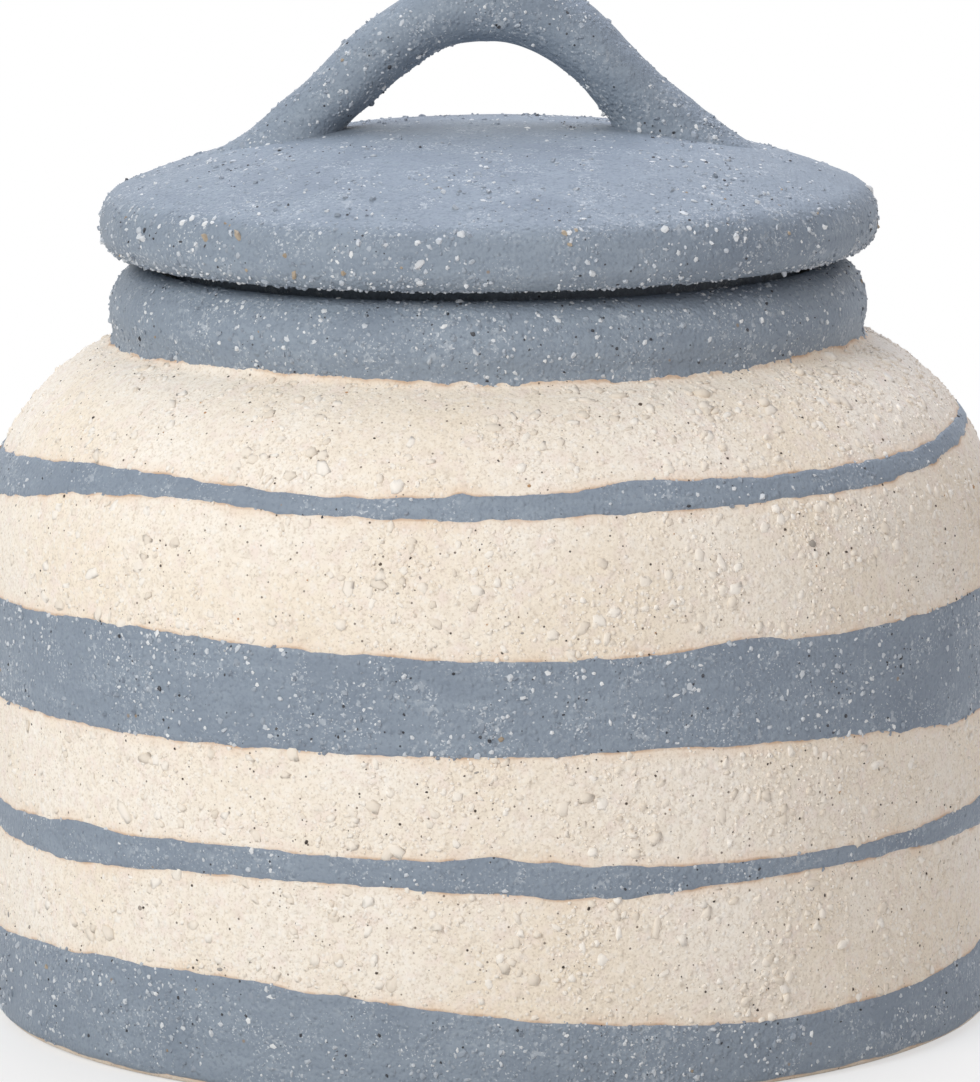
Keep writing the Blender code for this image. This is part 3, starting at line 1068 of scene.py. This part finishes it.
@dataclass
class LidDisc:
    """The lid: domed top, soft edge and underside under slip, and a bare hollow inside the flange."""

    node: Piece
    around: int = 480
    under_rows: int = 40
    outer_rows: int = 130
    slip_reach: float = 16.5 * MM
    crust_reach: float = 7.0 * MM
    crust_height: float = 2.6 * MM
    side_slope: float = 0.75
    side_plenty: float = 2.4

    def __post_init__(self) -> None:
        """Read the outline and find where the slip stops under the lid."""
        outline = Outline(self.node)
        radii = outline.line[:, 0]
        under = (outline.along < outline.widest) & (radii < radii.max() - self.slip_reach)
        self.slip_stop = float(outline.along[under].max())
        self.edge_radius = float(radii.max()) - self.crust_reach
        self.underside = float(outline.line[:, 1].min())
        self.top = Turned(outline, (self.underside,), ((38.0, 0.5, 21), (15.0, 0.2, 22), (4.5, 0.08, 23)))

    def height(self, radius: Points) -> Points:
        """Return the height of the domed top at each radius."""
        line = self.top.outline.line[self.top.outline.along >= self.top.outline.widest][::-1]
        return np.interp(radius, line[:, 0], line[:, 1])

    def build(self, slip: Material, clay: Material) -> Piece:
        """Model the lid.

        Args:
            slip: Material of the coated top.
            clay: Material of the bare hollow.

        Returns:
            The finished piece.
        """
        outline = self.top.outline
        rows = self.under_rows + self.outer_rows
        slab, across, up = rolled_slab("thrown_lid", self.around, rows)
        coated_from = self.under_rows / rows
        along = np.interp(up, (0.0, coated_from, 1.0), (0.0, self.slip_stop, outline.length))
        dress(slab, slip, clay, share_up(slab) < coated_from)
        set_places(slab, self.top.spots(FULL_TURN * across, along))
        closed_up(slab)
        return slab

    def coated(self, centres: Points, normals: Points) -> Points:
        """Return how thickly places on the coated top, side and edge take grit."""
        coat = (normals[:, 2] > 0.0) | (radius_of(centres) > self.edge_radius)
        return np.where(self.side(centres, normals), self.side_plenty, coat)

    def side(self, centres: Points, normals: Points) -> Points:
        """Return which places lie on the steep side."""
        steep = np.abs(normals[:, 2]) < self.side_slope
        return steep & (radius_of(centres) > self.edge_radius)

    def lower_edge(self, centres: Points, normals: Points) -> Points:
        """Return which places lie along the turn of the lower edge."""
        low = centres[:, 2] < self.underside + self.crust_height
        return low & (radius_of(centres) > self.edge_radius)

    def above(self, centres: Points, normals: Points) -> Points:
        """Return which places stand clear of the domed top."""
        return centres[:, 2] > self.height(radius_of(centres))


@dataclass
class LidFlange:
    """The ring luted under the lid, which stands on the ledge in the jar's mouth."""

    node: Piece
    around: int = 240
    rows: int = 80
    foot_height: float = 4.0 * MM

    def build(self, slip: Material, clay: Material) -> Piece:
        """Model the ring, with slip run down its outside and its foot wiped bare.

        Args:
            slip: Material of its outside.
            clay: Material of its foot and inside.

        Returns:
            The finished piece.
        """
        ring = Turned(Outline(self.node), ())
        outline = ring.outline
        slab, across, up = rolled_slab("luted_flange", self.around, self.rows)
        set_places(slab, ring.spots(FULL_TURN * across, up * outline.length))
        closed_up(slab)
        centres = np.array([face.center for face in slab.data.polygons])
        outside = radius_of(centres) > outline.line[:, 0].mean()
        coated = outside & (centres[:, 2] > outline.line[:, 1].min() + self.foot_height)
        dress(slab, clay, slip, coated)
        return slab


@dataclass
class LidHandle:
    """The pulled handle: a thick strap of clay arched over the lid, its ends smeared down onto the dome."""

    lid: LidDisc
    span_mm: float = 78.5
    crest_mm: float = 24.0
    slope: float = math.radians(45.0)
    root_depth_mm: float = 26.0
    crest_thickness_mm: float = 15.5
    leg_thickness_mm: float = 11.2
    toe_mm: float = 8.0
    crest_width_mm: float = 16.0
    foot_width_mm: float = 21.0
    crest_pull: float = 0.85
    knee_pull: float = 0.66
    flare_power: int = 5
    knee_share: float = 0.6
    heel_mm: float = 3.0
    heel_share: float = 0.66
    heel_spread: float = 0.14
    fillet_mm: float = 0.8
    smeared_from: float = 0.3
    sunk_mm: float = 2.5
    heading_step: float = 0.002
    along_rows: int = 240
    sides: int = 96
    waves: tuple[tuple[float, float, int], ...] = ((22.0, 0.7, 31), (9.0, 0.35, 32), (3.5, 0.12, 33))

    def centreline(self, share: Points) -> Points:
        """Return the (x, z) centreline of the half at +X.

        Args:
            share: From 0 at the crest to 1 at the root.

        Returns:
            One row for each share.
        """
        reach = self.span_mm * MM / 2.0
        crown, foot_height = self.lid.height(np.array((0.0, reach)))
        foot = np.array((reach, foot_height))
        crest = np.array((0.0, crown + self.crest_mm * MM))
        corner = np.array((foot[0] - (crest[1] - foot[1]) / math.tan(self.slope), crest[1]))
        knee = corner + self.knee_pull * (foot - corner)
        crest_hold = crest + self.crest_pull * (corner - crest)
        knee_hold = knee + self.knee_pull * (corner - knee)
        root = foot + self.root_depth_mm * MM * np.array((math.cos(self.slope), -math.sin(self.slope)))
        bend = np.clip(share / self.knee_share, 0.0, 1.0)[:, None]
        leg = np.clip((share - self.knee_share) / (1.0 - self.knee_share), 0.0, 1.0)[:, None]
        ease = 1.0 - bend
        upper = ease ** 3 * crest + 3 * ease ** 2 * bend * crest_hold
        lower = 3 * ease * bend ** 2 * knee_hold + bend ** 3 * knee
        return upper + lower + leg * (root - knee)

    def girth(self, share: Points, side: Points, turn: Points) -> Points:
        """Return how far the strap's skin lies from its centreline.

        Args:
            share: From 0 at the crest to 1 at the root.
            side: -1 on the half at -X, 1 on the half at +X.
            turn: Angle round the strap.

        Returns:
            One row of x, y and z for each place, as on the half at +X.
        """
        step = self.heading_step
        heading = self.centreline(share + step) - self.centreline(np.maximum(share - step, 0.0))
        heading[:, 1] = np.where(share < step, 0.0, heading[:, 1])
        heading /= np.hypot(*heading.T)[:, None]
        slim = np.minimum(1.0, share / self.knee_share)
        flare = share ** self.flare_power
        thickness = self.crest_thickness_mm + slim * (self.leg_thickness_mm - self.crest_thickness_mm)
        width = self.crest_width_mm + flare * (self.foot_width_mm - self.crest_width_mm)
        heel = self.heel_mm * np.exp(-((share - self.heel_share) / self.heel_spread) ** 2) * (side > 0.0)
        spread = np.where(np.sin(turn) > 0.0, self.toe_mm * flare, heel)
        lift = np.sin(turn) * (thickness / 2.0 + spread) * MM
        sideways = np.cos(turn) * width / 2.0 * MM
        return np.stack((-heading[:, 1] * lift, sideways, heading[:, 0] * lift), axis=1)

    def above_dome(self, places: Points) -> Points:
        """Return how high places stand above the lid's domed top."""
        return places[:, 2] - self.lid.height(radius_of(places))

    def build(self, slip: Material) -> Piece:
        """Model the strap as a tube along its centreline, with its feet smeared onto the lid.

        Args:
            slip: Material of the handle.

        Returns:
            The finished piece.
        """
        slab, across, up = rolled_slab("pulled_handle", self.sides, self.along_rows)
        side = np.where(up < 0.5, -1.0, 1.0)
        share = np.abs(2.0 * up - 1.0)
        away = self.girth(share, side, FULL_TURN * across)
        open_here = np.where(share < 1.0 - WELD, 1.0, 0.0)
        places = np.insert(self.centreline(share), 1, 0.0, axis=1) + away * open_here[:, None]
        fillet = self.fillet_mm * MM
        smear = fillet * np.exp(-np.maximum(self.above_dome(places), 0.0) / fillet)
        sideways = away[:, :2] / np.maximum(radius_of(away), WELD)[:, None]
        places[:, :2] += sideways * (smear * open_here * (share > self.smeared_from))[:, None]
        outward = away / np.maximum(np.linalg.norm(away, axis=1), WELD)[:, None]
        for rows in (places, outward):
            rows[:, 0] *= side
        wander = sum(reach * MM * Unevenness(size, seed).at(places) for size, reach, seed in self.waves)
        places += outward * (wander * open_here)[:, None]
        places[:, 2] -= np.minimum(self.above_dome(places) + self.sunk_mm * MM, 0.0)
        set_places(slab, places)
        closed_up(slab)
        dress(slab, slip)
        return slab


# Grit


@dataclass(frozen=True)
class Sprinkle:
    """One kind of grit.

    Attributes:
        crumb: Its shape.
        per_mm2: How many crumbs usually lie on a square millimetre.
        size_mm: How wide a crumb of the middle size is.
        tints: Where the crumbs lie on the ramp of colours of their finish.
        proud: How far a crumb's middle stands out of the surface, as a share of its width.
        spread: How much the widths differ.
        clumping: How far the crumbs gather in clumps.
    """

    crumb: Crumb
    per_mm2: float
    size_mm: float
    tints: tuple[float, float]
    proud: float = 0.25
    spread: float = 0.35
    clumping: float = 1.0


@dataclass
class Grit:
    """Crumbs strewn over finished pieces and joined into one."""

    name: str
    finish: Material
    seed: int
    smooth: bool = False
    clump_mm: float = 9.0
    clump_contrast: float = 2.2
    clump_range: tuple[float, float] = (0.05, 3.0)
    size_range: tuple[float, float] = (-2.0, 1.6)
    tint_lean: float = 1.5
    variants: int = 6
    elongation: float = 0.25
    corners: list[Points] = field(default_factory=list)
    faces: list[Points] = field(default_factory=list)
    tints: list[Points] = field(default_factory=list)
    count: int = 0

    def __post_init__(self) -> None:
        """Start the seeded draws."""
        self.draw = np.random.default_rng(self.seed)

    def crumb(self, kind: Crumb, variant: int) -> tuple[Points, Points]:
        """Model one crumb of unit size.

        Args:
            kind: Shape of the crumb.
            variant: Which of its variants.

        Returns:
            Its corners and its faces.
        """
        shape = kind.value
        bpy.ops.object.select_all(action="DESELECT")
        bpy.ops.mesh.primitive_uv_sphere_add(segments=shape.corners, ring_count=shape.rows, radius=0.5)
        lump = bpy.context.active_object
        bpy.ops.object.mode_set(mode="EDIT")
        bpy.ops.mesh.select_all(action="SELECT")
        bpy.ops.transform.vertex_random(offset=shape.knock, seed=self.seed + variant)
        bpy.ops.transform.resize(value=(1.0, 1.0, shape.height))
        bpy.ops.mesh.quads_convert_to_tris()
        bpy.ops.object.mode_set(mode="OBJECT")
        corners = read_places(lump)
        faces = np.array([list(face.vertices) for face in lump.data.polygons])
        bpy.data.objects.remove(lump, do_unlink=True)
        return corners, faces

    def strew(self, piece: Piece, sprinkles: tuple[Sprinkle, ...], keep: Keep, plenty: float = 1.0) -> None:
        """Strew several kinds of grit over a piece.

        Args:
            piece: The finished piece that carries the grit.
            sprinkles: The kinds of grit.
            keep: From face centres and normals, how thickly each face takes it.
            plenty: How thickly it lies, as a share of what is usual.
        """
        faces = piece.data.polygons
        centres, normals, areas = np.empty(3 * len(faces)), np.empty(3 * len(faces)), np.empty(len(faces))
        for values, name in ((centres, "center"), (normals, "normal"), (areas, "area")):
            faces.foreach_get(name, values)
        centres, normals = centres.reshape(-1, 3), normals.reshape(-1, 3)
        clumps = self.clump_contrast * Unevenness(self.clump_mm, self.seed).at(centres)
        room = areas * keep(centres, normals)
        for sprinkle in sprinkles:
            weights = room * np.clip(1.0 + sprinkle.clumping * clumps, *self.clump_range)
            number = int(plenty * sprinkle.per_mm2 * weights.sum() / MM ** 2)
            if number:
                chosen = self.draw.choice(len(faces), number, p=weights / weights.sum())
                self.settle(sprinkle, centres[chosen], normals[chosen], np.sqrt(areas[chosen]))

    def settle(self, sprinkle: Sprinkle, centres: Points, normals: Points, widths: Points) -> None:
        """Settle one crumb on each of some faces.

        Args:
            sprinkle: The kind of grit.
            centres: The faces' centres.
            normals: The faces' normals.
            widths: The faces' widths.
        """
        number = len(centres)
        odds = np.clip(self.draw.standard_normal(number), *self.size_range)
        sizes = sprinkle.size_mm * MM * np.exp(sprinkle.spread * odds)
        stray = self.draw.uniform(-0.5, 0.5, (number, 3)) * widths[:, None]
        stray -= normals * (stray * normals).sum(axis=1)[:, None]
        spots = centres + stray + normals * (sprinkle.proud * sizes)[:, None]
        kinds = self.draw.integers(0, self.variants, number)
        for variant in range(self.variants):
            mine = kinds == variant
            corners, faces = self.crumb(sprinkle.crumb, variant)
            turns = self.turns(normals[mine], sprinkle.crumb)
            drawn_out = np.exp(self.elongation * self.draw.standard_normal((mine.sum(), 1, 3)))
            placed = np.einsum("nij,nkj->nki", turns, corners * drawn_out) * sizes[mine][:, None, None]
            placed += spots[mine][:, None, :]
            first = self.count + len(corners) * np.arange(mine.sum())
            self.faces.append((faces + first[:, None, None]).reshape(-1, faces.shape[1]))
            self.corners.append(placed.reshape(-1, 3))
            lean = self.draw.uniform(size=mine.sum()) ** self.tint_lean
            self.tints.append(np.repeat(np.interp(lean, (0.0, 1.0), sprinkle.tints), len(corners)))
            self.count += len(corners) * mine.sum()

    def turns(self, normals: Points, kind: Crumb) -> Points:
        """Turn each crumb: tumbled any way, or lying flat on the surface.

        Args:
            normals: Normals of the surface under the crumbs.
            kind: Shape of the crumbs.

        Returns:
            A rotation matrix for each crumb.
        """
        first = self.draw.standard_normal((len(normals), 3))
        up = normals if kind.value.lies_flat else self.draw.standard_normal((len(normals), 3))
        up = up / np.linalg.norm(up, axis=1)[:, None]
        across = np.cross(up, first)
        across /= np.linalg.norm(across, axis=1)[:, None]
        return np.stack((across, np.cross(up, across), up), axis=2)

    def build(self) -> Piece:
        """Join the strewn crumbs.

        Returns:
            The finished piece.
        """
        mesh = bpy.data.meshes.new(self.name)
        mesh.from_pydata(np.vstack(self.corners).tolist(), [], np.vstack(self.faces).tolist())
        piece = bpy.data.objects.new(self.name, mesh)
        bpy.context.scene.collection.objects.link(piece)
        mark(piece, "tint", np.concatenate(self.tints))
        if self.smooth:
            mesh.shade_smooth()
        dress(piece, self.finish)
        return piece


# Studio


@dataclass(frozen=True)
class Softbox:
    """A square soft light: where it hangs, its width, its power in watts and its colour."""

    name: str
    place: tuple[float, float, float]
    width: float
    watts: float
    colour: str

    def build(self, target: Vector) -> None:
        """Hang the light.

        Args:
            target: The place that it is aimed at.
        """
        lamp = bpy.data.lights.new(self.name, "AREA")
        lamp.shape = "SQUARE"
        lamp.size = self.width
        lamp.energy = self.watts
        lamp.color = linear(self.colour)[:3]
        holder = bpy.data.objects.new(self.name, lamp)
        holder.location = self.place
        holder.rotation_euler = (target - Vector(self.place)).to_track_quat("-Z", "Y").to_euler()
        bpy.context.scene.collection.objects.link(holder)


@dataclass
class Studio:
    """Pale floor, soft light and the camera at the photograph's viewing angle."""

    image_height: int = 1082
    focal_pixels: float = 7500.0
    sensor: float = 36.0
    pitch: float = math.radians(9.0)
    roll: float = math.radians(0.5)
    distance: float = 1.5594
    aim: tuple[float, float, float] = (-0.0002, 0.0, 0.0958)
    floor_size: float = 12.0
    floor_near: float = 0.16
    floor_far: float = 0.55
    floor_shown: float = 0.58
    daylight: float = 0.36
    white: str = "FFFFFF"
    paper: str = "EBEAE8"
    paper_roughness: float = 0.9
    paper_ior: float = 1.4
    sky: str = "FBFCFF"
    softboxes: tuple[Softbox, ...] = (
        Softbox("key_softbox", (-0.82, -1.18, 1.02), 0.75, 15.7, "FFFFFF"),
        Softbox("overhead_softbox", (0.1, 0.6, 1.25), 1.1, 12.0, "E8EEFF"),
        Softbox("fill_softbox", (1.3, -1.0, 0.6), 0.9, 1.8, "FFE3D9"),
    )

    def camera(self) -> None:
        """Set up the camera."""
        data = bpy.data.cameras.new("photo_camera")
        data.sensor_width = self.sensor
        data.lens = self.focal_pixels * self.sensor / self.image_height
        data.clip_end = 2.0 * self.floor_size
        holder = bpy.data.objects.new("photo_camera", data)
        back = Vector((0.0, -math.cos(self.pitch), math.sin(self.pitch))) * self.distance
        upright = Euler((math.pi / 2.0 - self.pitch, 0.0, 0.0)).to_matrix()
        turn = upright @ Matrix.Rotation(-self.roll, 3, "Z")
        holder.matrix_world = Matrix.Translation(Vector(self.aim) + back) @ turn.to_4x4()
        bpy.context.scene.collection.objects.link(holder)
        bpy.context.scene.camera = holder

    @staticmethod
    def seen(tree: Tree) -> Socket:
        """Tell rays that show the studio to the camera from rays that light it.

        Args:
            tree: Node tree to add to.

        Returns:
            A socket that is 1 on rays from the camera, or mirrored or let through by what it sees.
        """
        path = add_node(tree, "LightPath").outputs
        shown = path["Is Camera Ray"]
        for kind in ("Is Glossy Ray", "Is Transmission Ray"):
            shown = add_node(tree, "Math", {0: shown, 1: path[kind]}, operation="MAXIMUM").outputs[0]
        return shown

    def floor(self) -> None:
        """Lay the white paper floor, lit by itself away from the jar and shaded by the jar near it."""
        bpy.ops.object.select_all(action="DESELECT")
        bpy.ops.mesh.primitive_plane_add(size=self.floor_size)
        paper = bpy.context.active_object
        paper.name = "paper_floor"
        dressing = Dressing("white_paper", self.paper, self.paper_roughness, self.paper_ior)
        tree = dressing.tree
        reach = add_node(tree, "VectorMath", {0: dressing.place}, operation="LENGTH").outputs["Value"]
        share = dressing.ranged(reach, self.floor_near, self.floor_far, self.floor_shown, 1.0)
        glow = add_node(tree, "Emission", {"Color": linear(self.white), "Strength": 1.0})
        dressing.finished()
        shine = dressing.times(share, self.seen(tree))
        shown = add_node(tree, "MixShader", {0: shine, 1: dressing.shader.outputs[0], 2: glow.outputs[0]})
        tree.links.new(shown.outputs[0], tree.nodes["Material Output"].inputs["Surface"])
        paper.data.materials.append(dressing.material)

    def world(self) -> None:
        """Set even daylight, with white where the camera sees past the floor."""
        world = bpy.data.worlds.new("even_daylight")
        world.use_nodes = True
        bpy.context.scene.world = world
        tree = world.node_tree
        light = tree.nodes["Background"]
        light.inputs["Color"].default_value = linear(self.sky)
        light.inputs["Strength"].default_value = self.daylight
        white = add_node(tree, "Background", {"Color": linear(self.white), "Strength": 1.0})
        inputs = {0: self.seen(tree), 1: light.outputs[0], 2: white.outputs[0]}
        shown = add_node(tree, "MixShader", inputs)
        tree.links.new(shown.outputs[0], tree.nodes["World Output"].inputs["Surface"])

    def build(self) -> None:
        """Set up the whole studio."""
        self.camera()
        self.floor()
        self.world()
        for softbox in self.softboxes:
            softbox.build(Vector(self.aim))
        bpy.context.scene.view_settings.view_transform = "Standard"


# Assembly


def join_to(piece: Piece, body: Body, slot: Slot, *nodes: str) -> None:
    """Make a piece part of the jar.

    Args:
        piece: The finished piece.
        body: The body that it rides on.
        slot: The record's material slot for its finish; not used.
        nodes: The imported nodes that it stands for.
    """
    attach(piece, body.value)
    if nodes:
        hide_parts(*nodes)
    piece.data.calc_loop_triangles()
    LOG.info("%s: %d triangles on %s", piece.name, len(piece.data.loop_triangles), body.value)


# Straying of the brush along the lower and the upper edge of each band, from the collar down
BRUSHWORK = {
    "collar_slip_coat": ((BrushMark(-38.0, 24.0, 1.4), BrushMark(62.0, 20.0, 1.4),
                          BrushMark(0.0, 90.0, 0.9)), ()),
    "shoulder_slip_band": ((BrushMark(-76.0, 20.0, -1.8), BrushMark(-22.0, 6.0, -0.5)),
                           (BrushMark(18.0, 5.0, 1.6), BrushMark(-3.5, 1.6, 1.2))),
    "belly_slip_band": ((BrushMark(-48.0, 18.0, -1.1), BrushMark(66.0, 12.0, -1.5)),
                        (BrushMark(29.0, 6.0, 1.6),)),
    "lower_slip_band": ((BrushMark(12.0, 8.0, -0.9),),
                        (BrushMark(1.0, 5.0, 1.1), BrushMark(-52.0, 5.0, 0.9))),
    "foot_slip_band": ((), ()),
}
COLLAR_OVERRUN = 5.5 * MM
FLOOR_CLEARANCE = 2.0 * MM

# How thickly grit lies on the narrow bands, the lid and the handle, as a share of what is usual
SPARSE = 0.35
LID_PLENTY = 0.47
HANDLE_PLENTY = 1.2
SPARSE_BANDS = ("shoulder_slip_band", "lower_slip_band")

# Seeds of the brushed edges and of the grit
BRUSH_SEED_STEP = 100
SLIP_GRIT_SEED = 500
LID_GRIT_SEED = 600
HANDLE_GRIT_SEED = 601
CLAY_GRIT_SEED = 700

# Grit under the slip, along the lid's lower edge, in lumps on the lid's side, and in the bare clay
SLIP_SPRINKLES = (
    Sprinkle(Crumb.GRAIN, 0.22, 0.48, (0.52, 1.0), -0.06, 0.55, 1.0),
    Sprinkle(Crumb.CHIP, 0.04, 0.9, (0.46, 0.6), -0.2, 0.35, 0.8),
    Sprinkle(Crumb.CHIP, 0.03, 0.9, (0.55, 0.95), -0.16, 0.35, 0.8),
    Sprinkle(Crumb.SAND, 0.0008, 0.8, (0.22, 0.36), -0.15),
    Sprinkle(Crumb.SAND, 0.018, 0.5, (0.0, 0.16), -0.15),
)
CRUST = (
    Sprinkle(Crumb.SAND, 0.5, 0.5, (0.5, 1.0), 0.05, 0.35, 0.5),
    Sprinkle(Crumb.CHIP, 0.12, 0.9, (0.45, 0.9), -0.1, 0.3, 0.5),
)
EDGE_LUMPS = (
    Sprinkle(Crumb.CHIP, 0.005, 1.5, (0.3, 0.36), -0.2, 0.3, 0.5),
    Sprinkle(Crumb.CHIP, 0.012, 1.3, (0.7, 1.0), -0.16, 0.3, 0.5),
)
CLAY_SPRINKLES = (
    Sprinkle(Crumb.SAND, 0.24, 0.5, (0.68, 0.9), -0.12, 0.4, 0.6),
    Sprinkle(Crumb.FLAKE, 0.06, 1.4, (0.66, 0.92), -0.03, 0.4, 0.7),
    Sprinkle(Crumb.CHIP, 0.03, 0.95, (0.68, 0.95), -0.16, 0.3, 0.7),
    Sprinkle(Crumb.SAND, 0.012, 0.4, (0.0, 0.16), -0.1),
    Sprinkle(Crumb.BLISTER, 0.0006, 1.0, (0.4, 0.46), -0.1),
    Sprinkle(Crumb.SAND, 0.001, 0.5, (0.2, 0.32), -0.1),
)
CLAY_BELTS = ("shoulder_clay_grit", "upper_clay_grit", "middle_clay_grit", "lower_clay_grit")


def main() -> None:
    """Build the jar, its slip, its lid and its grit, and set up the studio."""
    for item in list(bpy.data.objects):
        bpy.data.objects.remove(item, do_unlink=True)
    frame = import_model()
    nodes = frame["nodes"]
    slip = BrushedSlip().material()
    banded_clay = BareStoneware().material(scorched=True)
    plain_clay = BareStoneware().material(scorched=False)
    slip_grog = SLIP_GROG.material()
    clay_grog = CLAY_GROG.material()

    body = JarBody(nodes["jar_body"])
    bands = []
    for number, (name, (lower, upper)) in enumerate(BRUSHWORK.items(), start=1):
        overrun = COLLAR_OVERRUN if name == "collar_slip_coat" else 0.0
        seed = BRUSH_SEED_STEP * number
        bands.append(SlipBand(nodes[name], body.wall, body.foot_edge, seed, overrun, lower, upper))
    thrown = body.build(bands, banded_clay, LinerGlaze().material())
    join_to(thrown, Body.JAR, Slot.CLAY, "jar_body")
    for number, band in enumerate(bands):
        name = band.node.name
        skin = band.build(slip)
        join_to(skin, Body.JAR, Slot.SLIP, name)
        grit = Grit(name + "_grit", slip_grog, SLIP_GRIT_SEED + number)
        grit.strew(skin, SLIP_SPRINKLES, band.shows, SPARSE if name in SPARSE_BANDS else 1.0)
        join_to(grit.build(), Body.JAR, Slot.SLIP)
    for number, (name, above, below) in enumerate(zip(CLAY_BELTS, bands, bands[1:])):
        grit = Grit(name, clay_grog, CLAY_GRIT_SEED + number, smooth=True)
        grit.strew(thrown, CLAY_SPRINKLES, BareBelt(body, above, below).holds)
        join_to(grit.build(), Body.JAR, Slot.CLAY)

    disc = LidDisc(nodes["lid_disc"])
    lid = disc.build(slip, plain_clay)
    join_to(lid, Body.LID, Slot.SLIP, "lid_disc")
    flange = LidFlange(nodes["lid_flange"]).build(slip, plain_clay)
    join_to(flange, Body.LID, Slot.CLAY, "lid_flange")
    handle = LidHandle(disc).build(slip)
    join_to(handle, Body.LID, Slot.SLIP, "lid_handle")
    grit = Grit("lid_grit", slip_grog, LID_GRIT_SEED)
    grit.strew(lid, SLIP_SPRINKLES, disc.coated, LID_PLENTY)
    grit.strew(lid, CRUST, disc.lower_edge)
    grit.strew(lid, EDGE_LUMPS, disc.side)
    join_to(grit.build(), Body.LID, Slot.SLIP)
    grit = Grit("handle_grit", slip_grog, HANDLE_GRIT_SEED)
    grit.strew(handle, SLIP_SPRINKLES, disc.above, HANDLE_PLENTY)
    join_to(grit.build(), Body.LID, Slot.SLIP)

    Studio().build()


if __name__ == "__main__":
    logging.basicConfig(level=logging.INFO, format="%(message)s")
    main()
